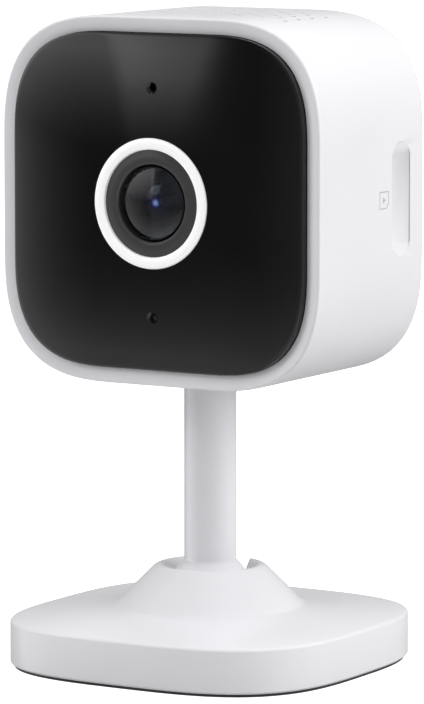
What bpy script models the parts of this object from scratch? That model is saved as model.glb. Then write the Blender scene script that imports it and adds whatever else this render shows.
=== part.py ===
# Indoor security camera: a square head with a glossy front, on a stem with a ball foot.
# Metres, +Z up, the lens looks along -Y, and the origin is on the floor under the stem.
import math

import bmesh
import bpy
from mathutils import Matrix, Vector

# Gaps
FIT = 0.0003
OVER = 0.001

# Head shell
HEAD_WIDTH = 0.058
HEAD_HEIGHT = 0.058
HEAD_DEPTH = 0.0347
HEAD_CORNER = 0.0206
HEAD_POWER = 2.8
HEAD_CENTRE_Z = 0.0750
FRONT_TO_STEM = 0.0159
HEAD_WALL = 0.0018
REAR_ROUND = 0.0021
OUTLINE_STEPS = 6

# Front ring and panel
RING_WIDTH = 0.0025
RING_RISE = 0.0006
DOME_RISE = 0.0016
PANEL_THICK = 0.0015
LEDGE_WIDTH = 0.0021
LEDGE_THICK = 0.0012
PORT_RADIUS = 0.0006
PORT_OFFSET = 0.0181

# Lens and its trim
BARREL_RADIUS = 0.0058
BARREL_LENGTH = 0.0126
BARREL_SINK = 0.0007
LENS_WALL = 0.0005
BEZEL_WIDTH = 0.00235
TRIM_WIDTH = 0.00181
TRIM_FLANGE_WIDTH = 0.00134
TRIM_FLANGE_THICK = 0.001
INNER_LENS_RADIUS = 0.0033
LIGHT_BORE_RADIUS = 0.0034
HOLDER_SIDE = 0.016
HOLDER_WALL = 0.0016
SENSOR_SIDE = 0.007
SENSOR_ROOM = 0.0034

# Filter changer
FILTER_SIDE = 0.0046
FILTER_TRAVEL = 0.0065
CARRIAGE_THICK = 0.0008
FILTER_WALL = 0.0014

# Boards, frame and their screws
BOARD_THICK = 0.0012
LED_BOARD_SIDE = 0.042
LED_BOARD_CORNER = 0.014
MAIN_BOARD_WIDTH = 0.0435
MAIN_BOARD_HEIGHT = 0.0395
FRAME_SIDE = 0.044
FRAME_THICK = 0.0014
POST_X = 0.016
POST_Z = 0.013
POST_RADIUS = 0.002
CAMERA_BOARD_WIDTH = 0.028
CAMERA_BOARD_HEIGHT = 0.019
SCREW_RADIUS = 0.0008
SCREW_HEAD = 0.0016
SCREW_HEAD_THICK = 0.001
LED_SIDE = 0.0028
LED_HIGH = 0.001
LED_X = 0.014
LED_Z = 0.012
GASKET_RADIUS = 0.0022
GASKET_BORE = 0.0008
CHIP_SIDE = 0.012
CHIP_HIGH = 0.0012
CHIP_X = -0.006
CHIP_Z = 0.008
THERMAL_PAD_THICK = 0.0008
SINK_THICK = 0.001
SINK_BORDER = 0.002
FIN_COUNT = 5
FIN_THICK = 0.0009
FIN_HIGH = 0.0034
WIFI_X = -0.0105
WIFI_Z = -0.0057
WIFI_SIZE = (0.013, 0.0022, 0.009)

# Rear cover
COVER_THICK = 0.0018
COVER_EDGE = 0.0033
COVER_SCREW_INSET = 0.0095
COVER_BOSS_RADIUS = 0.003
USB_DROP = 0.014
USB_WIDTH = 0.009
USB_HEIGHT = 0.0032
USB_WALL = 0.0004
USB_FLOOR = 0.003
REAR_VENTS = 5
REAR_VENT_PITCH = 0.004
REAR_VENT_WIDTH = 0.0012
REAR_VENT_LENGTH = 0.008
REAR_VENT_UP = 0.010
RESET_X = 0.010
RESET_RADIUS = 0.0011
RESET_TRAVEL = 0.0004
RESET_SWITCH_HIGH = 0.002

# Card recess in the +X side
RECESS_LENGTH = 0.0182
RECESS_WIDTH = 0.0059
RECESS_DEPTH = 0.0012
RECESS_SHALLOW = 0.0002
RECESS_BEHIND_FRONT = 0.0261
SLOT_LENGTH = 0.0141
SLOT_WIDTH = 0.0009

# Vents in the top of the head, and the speaker under them
VENT_RADIUS = 0.00045
VENT_ROWS = 4
VENT_COLUMNS = 17
VENT_PITCH_X = 0.0021
VENT_PITCH_Y = 0.0042
VENT_CENTRE_Y = 0.001
SPEAKER_WIDTH = 0.024
SPEAKER_DEPTH = 0.016
SPEAKER_HEIGHT = 0.0040
SPEAKER_GASKET_THICK = 0.0006
SPEAKER_CONE_RADIUS = 0.0065
ANTENNA_THICK = 0.0004
CABLE_RADIUS = 0.0005

# Stem, swivel and ball
STEM_RADIUS = 0.0042
STEM_TURN_GAP = 0.0003
BOSS_HEIGHT = 0.0038
BUSH_WALL = 0.0008
BUSH_SEAT_UP = 0.0008
WASHER_RADIUS = 0.0066
WASHER_THICK = 0.0008
SWIVEL_SCREW_RADIUS = 0.001
BALL_RADIUS = 0.0065
BALL_CENTRE_Z = 0.0115
BALL_NECK = 0.00475
SPIGOT_RADIUS = 0.0026
LINER_THICK = 0.0008
LINER_BOTTOM = 145.0

# Base
BASE_WIDTH = 0.057
BASE_POWER = 3.2
BASE_WALL = 0.0018
BASE_EDGE_Z = 0.0076
BASE_TOP_THICK = 0.0018
BASE_FOOT_RADIUS = 0.0160
BASE_FOOT_Z = 0.0093
COLLAR_RIM_OUT = 0.002
COLLAR_RIM_UP = 0.0042
LIP_ANGLE = 66.0
NOTCH_GAP = 0.0005
NOTCH_FLARE = 0.001
NOTCH_TURN = 20.0
LEAN_BACK = 80.0
PAD_THICK = 0.0005
PAD_INSET = 0.0006
BASE_PLATE_THICK = 0.0018
WEIGHT_THICK = 0.0021
BASE_SCREW_X = 0.0195
BASE_BOSS_RADIUS = 0.0026
RETAINER_RADIUS = 0.0136

# Places worked out from the sizes above
FRONT_Y = -FRONT_TO_STEM
BACK_Y = FRONT_Y + HEAD_DEPTH
RING_Y = FRONT_Y - RING_RISE
DOME_Y = RING_Y - DOME_RISE
HEAD_BOTTOM = HEAD_CENTRE_Z - HEAD_HEIGHT / 2
HEAD_TOP = HEAD_CENTRE_Z + HEAD_HEIGHT / 2
LEDGE_FRONT = RING_Y + PANEL_THICK + FIT
LEDGE_BACK = LEDGE_FRONT + LEDGE_THICK
BEZEL_INNER = BARREL_RADIUS + FIT
TRIM_INNER = BEZEL_INNER + BEZEL_WIDTH
TRIM_OUTER = TRIM_INNER + TRIM_WIDTH
TRIM_FLANGE = TRIM_OUTER + TRIM_FLANGE_WIDTH
FLANGE_BACK = DOME_Y + PANEL_THICK + FIT + TRIM_FLANGE_THICK
LED_BOARD_FRONT = FLANGE_BACK + 0.0007
LED_BOARD_BACK = LED_BOARD_FRONT + BOARD_THICK
FRAME_FRONT = LED_BOARD_BACK + 0.0014
FRAME_BACK = FRAME_FRONT + FRAME_THICK
BARREL_FRONT = DOME_Y + BARREL_SINK
BARREL_BACK = BARREL_FRONT + BARREL_LENGTH
CARRIAGE_Y = BARREL_BACK + 2 * FIT
HOLDER_BACK = CARRIAGE_Y + CARRIAGE_THICK + SENSOR_ROOM
CAMERA_BOARD_Y = HOLDER_BACK + FIT
MAIN_BOARD_Y = CAMERA_BOARD_Y + BOARD_THICK + 0.0042
MAIN_BOARD_BACK = MAIN_BOARD_Y + BOARD_THICK
COVER_FRONT = BACK_Y - COVER_THICK - 0.0001
COVER_SCREW_X = HEAD_WIDTH / 2 - COVER_SCREW_INSET
COVER_SCREW_Z = COVER_SCREW_INSET - HEAD_HEIGHT / 2
BALL_CENTRE = Vector((0, 0, BALL_CENTRE_Z))
NECK_Z = BALL_CENTRE_Z + BALL_NECK
COLLAR_RIM_RADIUS = BALL_RADIUS + COLLAR_RIM_OUT
COLLAR_RIM_Z = BALL_CENTRE_Z + COLLAR_RIM_UP
BOSS_TOP = HEAD_BOTTOM + BOSS_HEIGHT
POLE_TOP = BOSS_TOP
SHELL_BOTTOM = PAD_THICK + FIT
PLATE_TOP = SHELL_BOTTOM + BASE_PLATE_THICK
WEIGHT_Z = PLATE_TOP + FIT
BASE_HOLLOW_Z = BASE_EDGE_Z - BASE_TOP_THICK
RETAINER_TOP = BASE_HOLLOW_Z - FIT

WHITE = (0.86, 0.86, 0.88)
BLACK = (0.012, 0.012, 0.013)
GREEN = (0.02, 0.16, 0.07)
STEEL = (0.55, 0.55, 0.56)


def clear_scene():
    for obj in list(bpy.data.objects):
        bpy.data.objects.remove(obj, do_unlink=True)


def new_collection(name, hidden=False):
    collection = bpy.data.collections.new(name)
    collection.hide_render = hidden
    bpy.context.scene.collection.children.link(collection)
    return collection


def material(name, color, roughness, metallic=0.0):
    made = bpy.data.materials.new(name)
    made.use_nodes = True
    shader = made.node_tree.nodes["Principled BSDF"]
    shader.inputs["Base Color"].default_value = (*color, 1.0)
    shader.inputs["Roughness"].default_value = roughness
    shader.inputs["Metallic"].default_value = metallic
    return made


clear_scene()
PARTS = new_collection("security_camera")
CUTTERS = new_collection("cutters", hidden=True)


def place(obj, name, look=None):
    """Names the object and puts it with the parts, or with the cutters when it has no look."""
    obj.name = name
    for collection in list(obj.users_collection):
        collection.objects.unlink(obj)
    if look is None:
        CUTTERS.objects.link(obj)
        obj.hide_render = True
        obj.display_type = "WIRE"
        return obj
    PARTS.objects.link(obj)
    obj.data.materials.clear()
    obj.data.materials.append(look)
    return obj


def settle(obj):
    """Moves the object's placing into its mesh, so that modifiers work in world sizes."""
    obj.data.transform(obj.matrix_basis)
    obj.matrix_basis = Matrix.Identity(4)
    return obj


def outline(width, height, corner, power, steps=OUTLINE_STEPS):
    """A rectangle whose corners are superellipse arcs, counter-clockwise from +X."""
    arc = [math.pi / 2 * i / steps for i in range(steps + 1)]
    quarter = [
        (corner * math.cos(a) ** (2 / power), corner * math.sin(a) ** (2 / power)) for a in arc[1:-1]
    ]
    quarter = [(corner, 0.0), *quarter, (0.0, corner)]
    across, up = width / 2 - corner, height / 2 - corner
    points = [(across + x, up + y) for x, y in quarter]
    points += [(-across - x, up + y) for x, y in reversed(quarter)]
    points += [(-across - x, -up - y) for x, y in quarter]
    points += [(across + x, -up - y) for x, y in reversed(quarter)]
    return [p for i, p in enumerate(points) if math.dist(p, points[i - 1]) > 1e-6]


def head_outline(inset=0.0):
    return outline(
        HEAD_WIDTH - 2 * inset, HEAD_HEIGHT - 2 * inset, HEAD_CORNER - 1.2 * inset, HEAD_POWER
    )


def base_outline(inset=0.0):
    width = BASE_WIDTH - 2 * inset
    return outline(width, width, width / 2, BASE_POWER, steps=8)


def scaled(points, factor):
    return [(x * factor, y * factor) for x, y in points]


def facing_front(x, y, depth):
    return (x, depth, HEAD_CENTRE_Z + y)


def standing(x, y, depth):
    return (x, y, depth)


def loft(name, sections, to_world, look=None):
    """A closed solid through sections of (outline, depth), each with as many points."""
    count = len(sections[0][0])
    points = [to_world(x, y, depth) for ring, depth in sections for x, y in ring]
    faces = [list(range(count)), list(range(len(points) - count, len(points)))]
    for level in range(len(sections) - 1):
        low = level * count
        for i in range(count):
            j = (i + 1) % count
            faces.append([low + i, low + j, low + count + j, low + count + i])
    mesh = bpy.data.meshes.new(name)
    mesh.from_pydata(points, [], faces)
    return close_up(mesh, name, look)


def close_up(mesh, name, look):
    work = bmesh.new()
    work.from_mesh(mesh)
    bmesh.ops.remove_doubles(work, verts=work.verts, dist=1e-6)
    bmesh.ops.triangulate(work, faces=work.faces)
    bmesh.ops.recalc_face_normals(work, faces=work.faces)
    work.to_mesh(mesh)
    work.free()
    return place(bpy.data.objects.new(name, mesh), name, look)


def hull(mesh, name, look=None):
    work = bmesh.new()
    work.from_mesh(mesh)
    made = bmesh.ops.convex_hull(work, input=work.verts)
    bmesh.ops.delete(work, geom=made["geom_interior"], context="VERTS")
    work.to_mesh(mesh)
    work.free()
    return close_up(mesh, name, look)


def slab(name, points, low, high, turn, look=None):
    """A flat outline drawn as a 2D curve and extruded from low to high across its plane."""
    curve = bpy.data.curves.new(name, "CURVE")
    curve.dimensions = "2D"
    curve.fill_mode = "BOTH"
    curve.extrude = (high - low) / 2
    spline = curve.splines.new("POLY")
    spline.points.add(len(points) - 1)
    for point, (x, y) in zip(spline.points, points):
        point.co = (x, y, 0, 1)
    spline.use_cyclic_u = True
    drawn = bpy.data.objects.new(name + "_outline", curve)
    bpy.context.scene.collection.objects.link(drawn)
    drawn.matrix_world = turn @ Matrix.Translation((0, 0, (low + high) / 2))
    bpy.context.view_layer.update()
    evaluated = drawn.evaluated_get(bpy.context.evaluated_depsgraph_get())
    mesh = bpy.data.meshes.new_from_object(evaluated)
    mesh.transform(drawn.matrix_world)
    bpy.data.objects.remove(drawn, do_unlink=True)
    return close_up(mesh, name, look)


# Turns a flat drawing so that its depth runs along +Y, +X or +Z.
ALONG_Y = Matrix(((1, 0, 0, 0), (0, 0, 1, 0), (0, 1, 0, HEAD_CENTRE_Z), (0, 0, 0, 1)))
ALONG_X = Matrix(((0, 0, 1, 0), (1, 0, 0, 0), (0, 1, 0, HEAD_CENTRE_Z), (0, 0, 0, 1)))
ALONG_Z = Matrix.Identity(4)


def turned(name, profile, centre, axis="Z", look=None, steps=24):
    """A turned solid from (radius, height) points that run down the outer side, top to bottom."""
    closed = profile[0][0] > 0 or profile[-1][0] > 0
    mesh = bpy.data.meshes.new(name)
    count = len(profile)
    edges = [(i, i + 1) for i in range(count - 1)]
    if closed:
        edges.append((count - 1, 0))
    edges = [(i, j) for i, j in edges if profile[i][0] > 0 or profile[j][0] > 0]
    mesh.from_pydata([(r, 0, h) for r, h in profile], edges, [])
    obj = place(bpy.data.objects.new(name, mesh), name, look)
    turn = obj.modifiers.new("turn", "SCREW")
    turn.steps = steps
    turn.render_steps = steps
    turn.use_merge_vertices = True
    turn.merge_threshold = 1e-6
    turn.use_normal_calculate = False
    tilt = Matrix.Identity(4)
    if axis == "Y":
        tilt = Matrix.Rotation(math.radians(-90), 4, "X")
    obj.matrix_basis = Matrix.Translation(centre) @ tilt
    return solid(obj)


def solid(obj):
    """Applies what the object has so far and leaves a plain mesh in world sizes."""
    bpy.context.view_layer.update()
    evaluated = obj.evaluated_get(bpy.context.evaluated_depsgraph_get())
    mesh = bpy.data.meshes.new_from_object(evaluated)
    obj.modifiers.clear()
    obj.data = mesh
    return settle(obj)


def box(name, centre, size, look=None):
    bpy.ops.mesh.primitive_cube_add(size=1, location=centre)
    obj = bpy.context.object
    obj.scale = size
    return settle(place(obj, name, look))


def rod(name, centre, radius, length, axis="Z", look=None, sides=20):
    bpy.ops.mesh.primitive_cylinder_add(vertices=sides, radius=radius, depth=length, location=centre)
    obj = bpy.context.object
    if axis == "Y":
        obj.rotation_euler = (math.radians(90), 0, 0)
    if axis == "X":
        obj.rotation_euler = (0, math.radians(90), 0)
    bpy.context.view_layer.update()
    return settle(place(obj, name, look))


def rod_y(name, x, z, low, high, radius, look=None, sides=20):
    return rod(name, (x, (low + high) / 2, HEAD_CENTRE_Z + z), radius, high - low, "Y", look, sides)


def boolean(target, tool, operation):
    step = target.modifiers.new(tool.name, "BOOLEAN")
    step.object = tool
    step.operation = operation
    step.solver = "EXACT"
    return target


def cut(target, *tools):
    for tool in tools:
        boolean(target, tool, "DIFFERENCE")
    return target


def join(target, *tools):
    for tool in tools:
        boolean(target, tool, "UNION")
    return target


def soften(obj, width, segments=2, angle=40.0):
    step = obj.modifiers.new("rounded edges", "BEVEL")
    step.width = width
    step.segments = segments
    step.limit_method = "ANGLE"
    step.angle_limit = math.radians(angle)
    return obj


def smooth_round_faces():
    for obj in PARTS.objects:
        obj.data.shade_smooth()
        obj.data.set_sharp_from_angle(angle=math.radians(30))


def screw(name, centre, axis, head_side, length, look, radius=SCREW_RADIUS, head=SCREW_HEAD):
    """A pan-head screw with a hollow drive; centre is under its head, head_side is +1 or -1."""
    drive = head * 0.45
    profile = [
        (0, SCREW_HEAD_THICK * 0.45),
        (drive, SCREW_HEAD_THICK * 0.45),
        (drive, SCREW_HEAD_THICK),
        (head * 0.8, SCREW_HEAD_THICK),
        (head, SCREW_HEAD_THICK * 0.6),
        (head, 0),
        (radius, 0),
        (radius, -length + radius * 0.5),
        (0, -length),
    ]
    obj = turned(name, profile, (0, 0, 0), "Z", look, steps=12)
    if axis == "Y":
        flip = Matrix.Rotation(math.radians(-90 * head_side), 4, "X")
    else:
        flip = Matrix.Rotation(0 if head_side > 0 else math.pi, 4, "X")
    obj.data.transform(Matrix.Translation(centre) @ flip)
    return obj


# ---- Head shell -------------------------------------------------------------------------


def dome_y(scale):
    """Depth of the domed front at a share of the panel outline, 0 at the lens axis."""
    return RING_Y - DOME_RISE * (1 - scale**4)


def make_housing(look):
    quarter = [math.radians(a) for a in (0, 30, 60, 90)]
    rounds = [
        (REAR_ROUND * (1 - math.cos(a)), BACK_Y - REAR_ROUND * (1 - math.sin(a))) for a in quarter
    ]
    sections = [
        (head_outline(RING_WIDTH), RING_Y),
        (head_outline(0.0004), FRONT_Y - 0.0001),
        (head_outline(), FRONT_Y + 0.0004),
    ]
    sections += [(head_outline(inset), depth) for inset, depth in rounds]
    housing = loft("housing", sections, facing_front, look)
    cut(
        housing,
        slab("panel_seat_cut", head_outline(RING_WIDTH - FIT), RING_Y - OVER, LEDGE_FRONT, ALONG_Y),
        slab(
            "ledge_cut",
            head_outline(RING_WIDTH + LEDGE_WIDTH),
            LEDGE_FRONT - OVER / 2,
            LEDGE_BACK + OVER,
            ALONG_Y,
        ),
        slab("head_hollow", head_outline(HEAD_WALL), LEDGE_BACK, COVER_FRONT - 0.0004, ALONG_Y),
        slab("rear_opening", head_outline(COVER_EDGE - FIT), 0, BACK_Y + OVER, ALONG_Y),
    )
    add_cover_bosses(housing)
    boss_centre = (0, 0, HEAD_BOTTOM + BOSS_HEIGHT / 2 + OVER / 2)
    join(housing, rod("stem_boss", boss_centre, WASHER_RADIUS + 0.0008, BOSS_HEIGHT - OVER))
    hole_centre = (0, 0, HEAD_BOTTOM + BOSS_HEIGHT / 2)
    hole_length = BOSS_HEIGHT + 2 * OVER
    seat_radius = STEM_RADIUS + STEM_TURN_GAP + BUSH_WALL + FIT
    seat_low, seat_high = HEAD_BOTTOM + BUSH_SEAT_UP, BOSS_TOP + OVER
    seat_centre = (0, 0, (seat_low + seat_high) / 2)
    cut(
        housing,
        rod("stem_hole", hole_centre, STEM_RADIUS + STEM_TURN_GAP, hole_length, sides=32),
        rod("bush_hole", seat_centre, seat_radius, seat_high - seat_low, sides=32),
    )
    cut_card_slot(housing)
    cut_vents(housing)
    return housing


def add_cover_bosses(housing):
    """A boss for each cover screw, with a rib out to the corner of the shell."""
    z = COVER_SCREW_Z
    rib_length = COVER_FRONT - 0.004 - LEDGE_BACK
    for side in (-1, 1):
        x = side * COVER_SCREW_X
        boss = rod_y(f"cover_boss_{side}", x, z, LEDGE_BACK - 0.0005, COVER_FRONT - FIT, COVER_BOSS_RADIUS)
        rib = box(f"cover_rib_{side}", (0, 0, 0), (0.006, rib_length, 0.0014))
        rib_y = LEDGE_BACK - 0.0007 + rib_length / 2
        rib_centre = (x + side * 0.0025, rib_y, HEAD_CENTRE_Z + z - 0.0025)
        turn = Matrix.Rotation(math.radians(45 * side), 4, "Y")
        rib.data.transform(Matrix.Translation(rib_centre) @ turn)
        join(housing, boss, rib)
        low, high = COVER_FRONT - 0.007, COVER_FRONT + OVER
        cut(housing, rod_y(f"cover_pilot_{side}", x, z, low, high, SCREW_RADIUS + FIT, sides=12))


def recess_y():
    return FRONT_Y + RECESS_BEHIND_FRONT


def slot_y():
    return recess_y() - RECESS_WIDTH / 2 + SLOT_WIDTH / 2 + 0.0001


def cut_card_slot(housing):
    """A scoop that deepens towards the slot at its front edge and rises at its two ends."""
    shape = outline(RECESS_WIDTH, RECESS_LENGTH, RECESS_WIDTH / 2 - 1e-5, 2.0)
    side = HEAD_WIDTH / 2
    points = [(x, recess_y() + y, z) for x in (side, side + OVER) for y, z in shape]
    for across, depth in ((-1, RECESS_DEPTH), (1, RECESS_SHALLOW)):
        y = recess_y() + across * RECESS_WIDTH / 2
        points += [(side - depth, y, sign * SLOT_LENGTH / 2) for sign in (-1, 1)]
    mesh = bpy.data.meshes.new("recess_cut")
    mesh.from_pydata([(x, y, HEAD_CENTRE_Z + z) for x, y, z in points], [], [])
    scoop = hull(mesh, "recess_cut")
    slot = box(
        "card_slot_cut",
        (side, slot_y(), HEAD_CENTRE_Z),
        (6 * HEAD_WALL, SLOT_WIDTH, SLOT_LENGTH),
    )
    cut(housing, scoop, slot)


def vent_places():
    for column in range(VENT_COLUMNS):
        x = (column - (VENT_COLUMNS - 1) / 2) * VENT_PITCH_X
        shift = VENT_PITCH_Y / 2 * (column % 2)
        rows = VENT_ROWS - column % 2
        for row in range(rows):
            y = VENT_CENTRE_Y + (row - (VENT_ROWS - 1) / 2) * VENT_PITCH_Y + shift
            yield x, y


def cut_vents(housing):
    group = None
    for number, (x, y) in enumerate(vent_places()):
        pin = rod(f"vent_{number}", (x, y, HEAD_TOP - 0.002), VENT_RADIUS, 0.008, sides=4)
        if group is None:
            group = pin
            continue
        merge_meshes(group, pin)
    cut(housing, group)


def merge_meshes(keeper, other):
    """Puts a second loose shape into the keeper's mesh, as in a cutter of many pins."""
    work = bmesh.new()
    work.from_mesh(keeper.data)
    work.from_mesh(other.data)
    work.to_mesh(keeper.data)
    work.free()
    bpy.data.objects.remove(other, do_unlink=True)


def make_rear_cover(look):
    cover = slab("rear_cover", head_outline(COVER_EDGE), COVER_FRONT, BACK_Y - 0.0001, ALONG_Y, look)
    through = (COVER_FRONT - OVER, BACK_Y + OVER)
    usb_hole = outline(USB_WIDTH + 0.0008, USB_HEIGHT + 0.0008, USB_HEIGHT / 2, 2.0, steps=4)
    usb_hole = [(x, z - USB_DROP) for x, z in usb_hole]
    cut(
        cover,
        slab("usb_cut", usb_hole, *through, ALONG_Y),
        rod_y("reset_cut", RESET_X, -USB_DROP, *through, RESET_RADIUS + FIT, sides=16),
    )
    sink = (BACK_Y - SCREW_HEAD_THICK - 0.0002, BACK_Y + OVER)
    for side in (-1, 1):
        x, z = side * COVER_SCREW_X, COVER_SCREW_Z
        cut(
            cover,
            rod_y(f"cover_hole_{side}", x, z, *through, SCREW_RADIUS + FIT, sides=12),
            rod_y(f"cover_sink_{side}", x, z, *sink, SCREW_HEAD + FIT, sides=16),
        )
    for i in range(REAR_VENTS):
        x = (i - (REAR_VENTS - 1) / 2) * REAR_VENT_PITCH
        slot = outline(REAR_VENT_WIDTH, REAR_VENT_LENGTH, REAR_VENT_WIDTH / 2 - 0.00005, 2.0, steps=2)
        slot = [(x + u, REAR_VENT_UP + v) for u, v in slot]
        cut(cover, slab(f"rear_vent_{i}", slot, *through, ALONG_Y))
    return cover


def make_cover_screws(look):
    under = BACK_Y - SCREW_HEAD_THICK - 0.0001 + FIT / 3
    for i, side in enumerate((-1, 1)):
        centre = (side * COVER_SCREW_X, under, HEAD_CENTRE_Z + COVER_SCREW_Z)
        screw(f"cover_screw_{i + 1}", centre, "Y", 1, 0.006, look)


def make_front_panel(look):
    edge = head_outline(RING_WIDTH)
    shares = [1.0, 0.93, 0.84, 0.7, 0.55, 0.38]
    sections = [(scaled(edge, s), dome_y(s)) for s in reversed(shares)]
    sections += [(scaled(edge, s), dome_y(s) + PANEL_THICK) for s in shares]
    panel = loft("front_panel", sections, facing_front, look)
    cut(
        panel,
        rod_y("trim_hole", 0, 0, DOME_Y - OVER, LEDGE_BACK, TRIM_OUTER + FIT, sides=28),
        rod_y("mic_port", 0, PORT_OFFSET, DOME_Y - OVER, LEDGE_BACK, PORT_RADIUS, sides=12),
        rod_y("light_port", 0, -PORT_OFFSET, DOME_Y - OVER, LEDGE_BACK, PORT_RADIUS, sides=12),
    )
    return panel


# ---- Lens -------------------------------------------------------------------------------


def lens_turned(name, profile, look, steps=28):
    """A piece turned about the lens axis; the profile's height is its depth behind the dome."""
    flipped = [(radius, -depth) for radius, depth in profile]
    obj = turned(name, flipped, (0, 0, 0), "Z", look, steps)
    turn = Matrix.Rotation(math.radians(90), 4, "X")
    obj.data.transform(Matrix.Translation((0, DOME_Y, HEAD_CENTRE_Z)) @ turn)
    return obj


def make_lens_trim(white, dark):
    flange_front = PANEL_THICK + FIT
    flange_back = FLANGE_BACK - DOME_Y
    lens_turned(
        "lens_trim_ring",
        [
            (TRIM_INNER, 0.0002),
            (TRIM_INNER + 0.0003, 0.00005),
            (TRIM_OUTER - 0.0003, 0.00005),
            (TRIM_OUTER, 0.0003),
            (TRIM_OUTER, flange_front),
            (TRIM_FLANGE, flange_front),
            (TRIM_FLANGE, flange_back),
            (TRIM_INNER, flange_back),
        ],
        white,
    )
    lens_turned(
        "lens_bezel",
        [
            (BEZEL_INNER, 0.0006),
            (BEZEL_INNER + 0.0004, 0.0003),
            (TRIM_INNER - FIT, 0.0002),
            (TRIM_INNER - FIT, flange_back),
            (BEZEL_INNER, flange_back),
        ],
        dark,
    )


def make_lens(look, glass):
    inner = BARREL_RADIUS - LENS_WALL
    start, end = BARREL_FRONT - DOME_Y, BARREL_BACK - DOME_Y
    lens_turned(
        "lens_barrel",
        [
            (inner, start),
            (BARREL_RADIUS, start),
            (BARREL_RADIUS, end),
            (INNER_LENS_RADIUS - 0.0007, end),
            (INNER_LENS_RADIUS - 0.0007, end - 0.003),
            (INNER_LENS_RADIUS + FIT, end - 0.003),
            (INNER_LENS_RADIUS + FIT, start + 0.0034),
            (inner, start + 0.0034),
        ],
        look,
    )
    bow = [math.radians(a) for a in (0, 12, 24, 36)]
    front_edge = inner - FIT
    bulge = front_edge / math.sin(bow[-1])
    rise = bulge * (1 - math.cos(bow[-1]))
    crown = start + 0.0005
    dome = [(bulge * math.sin(a), crown + bulge * (1 - math.cos(a))) for a in bow]
    lens_turned(
        "front_lens",
        [*dome, (front_edge, crown + rise + 0.0009), (0, crown + rise + 0.0009)],
        glass,
        steps=28,
    )
    radius = INNER_LENS_RADIUS
    for name, depth, thick in (
        ("middle_lens", start + 0.0045, 0.0016),
        ("rear_lens", end - 0.0055, 0.0017),
    ):
        face = [(0, depth - 0.0003), (radius * 0.6, depth - 0.0002), (radius, depth)]
        lens_turned(name, [*face, (radius, depth + thick), (0, depth + thick)], glass, steps=20)


def make_lens_holder(look):
    base_low = CARRIAGE_Y - FILTER_WALL
    holder = box(
        "lens_holder",
        (0, (base_low + HOLDER_BACK) / 2, HEAD_CENTRE_Z),
        (HOLDER_SIDE, HOLDER_BACK - base_low, HOLDER_SIDE),
        look,
    )
    collar_front = FRAME_FRONT - 0.0008
    bore = BARREL_RADIUS + FIT
    join(holder, rod_y("holder_collar", 0, 0, collar_front, base_low + 0.001, bore + HOLDER_WALL, sides=32))
    slot_high = FILTER_SIDE + 0.0038
    cut(
        holder,
        rod_y("holder_bore", 0, 0, collar_front - OVER, BARREL_BACK + FIT, bore, sides=32),
        rod_y("light_bore", 0, 0, BARREL_BACK - OVER, HOLDER_BACK + OVER, LIGHT_BORE_RADIUS, sides=24),
        box(
            "filter_slot",
            (0, CARRIAGE_Y + CARRIAGE_THICK / 2, HEAD_CENTRE_Z),
            (HOLDER_SIDE + 2 * OVER, CARRIAGE_THICK + 2 * FIT, slot_high),
        ),
        box(
            "sensor_pocket",
            (0, HOLDER_BACK, HEAD_CENTRE_Z),
            (SENSOR_SIDE + 0.002, SENSOR_ROOM, SENSOR_SIDE + 0.002),
        ),
    )
    return holder


def make_filters(black, glass):
    height = FILTER_SIDE + 0.003
    width = FILTER_TRAVEL + FILTER_SIDE + 0.0024
    centre_x = -FILTER_TRAVEL / 2
    middle = CARRIAGE_Y + CARRIAGE_THICK / 2
    size = (width, CARRIAGE_THICK, height)
    carriage = box("filter_carriage", (centre_x, middle, HEAD_CENTRE_Z), size, black)
    for name, x in (("ir_filter", 0.0), ("clear_filter", -FILTER_TRAVEL)):
        window = FILTER_SIDE + 2 * FIT
        cut(carriage, box(name + "_window", (x, middle, HEAD_CENTRE_Z), (window, 0.003, window)))
        box(name, (x, middle, HEAD_CENTRE_Z), (FILTER_SIDE, 0.0005, FILTER_SIDE), glass[name])
    return carriage


# ---- Electronics ------------------------------------------------------------------------


def make_led_board(green, looks):
    board = slab(
        "led_board",
        outline(LED_BOARD_SIDE, LED_BOARD_SIDE, LED_BOARD_CORNER, 2.0, steps=4),
        LED_BOARD_FRONT,
        LED_BOARD_BACK,
        ALONG_Y,
        green,
    )
    through = (LED_BOARD_FRONT - OVER, LED_BOARD_BACK + OVER)
    cut(
        board,
        rod_y("board_eye", 0, 0, *through, BARREL_RADIUS + 0.003, sides=32),
        rod_y("sound_hole", 0, PORT_OFFSET, *through, PORT_RADIUS, sides=10),
    )
    for number, (side_x, side_z) in enumerate(((-1, 1), (1, 1), (-1, -1), (1, -1))):
        led = box(
            f"ir_led_{number + 1}",
            (side_x * LED_X, LED_BOARD_FRONT - FIT - LED_HIGH / 2, HEAD_CENTRE_Z + side_z * LED_Z),
            (LED_SIDE, LED_HIGH, LED_SIDE),
            looks["led"],
        )
        soften(led, 0.0002, 1)
    mic_y = LED_BOARD_BACK + FIT + 0.0005
    mic_centre = (0, mic_y, HEAD_CENTRE_Z + PORT_OFFSET)
    soften(box("microphone", mic_centre, (0.0035, 0.001, 0.0027), looks["metal"]), 0.0002, 1)
    front = dome_y((PORT_OFFSET + GASKET_RADIUS) / (HEAD_HEIGHT / 2 - RING_WIDTH)) + PANEL_THICK + FIT
    back = LED_BOARD_FRONT - FIT
    gasket = rod_y("mic_gasket", 0, PORT_OFFSET, front, back, GASKET_RADIUS, looks["rubber"], sides=20)
    cut(gasket, rod_y("gasket_bore", 0, PORT_OFFSET, front - OVER, back + OVER, GASKET_BORE, sides=12))
    box(
        "light_sensor",
        (0, LED_BOARD_FRONT - FIT - 0.00035, HEAD_CENTRE_Z - PORT_OFFSET),
        (0.002, 0.0007, 0.002),
        looks["clear"],
    )


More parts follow.
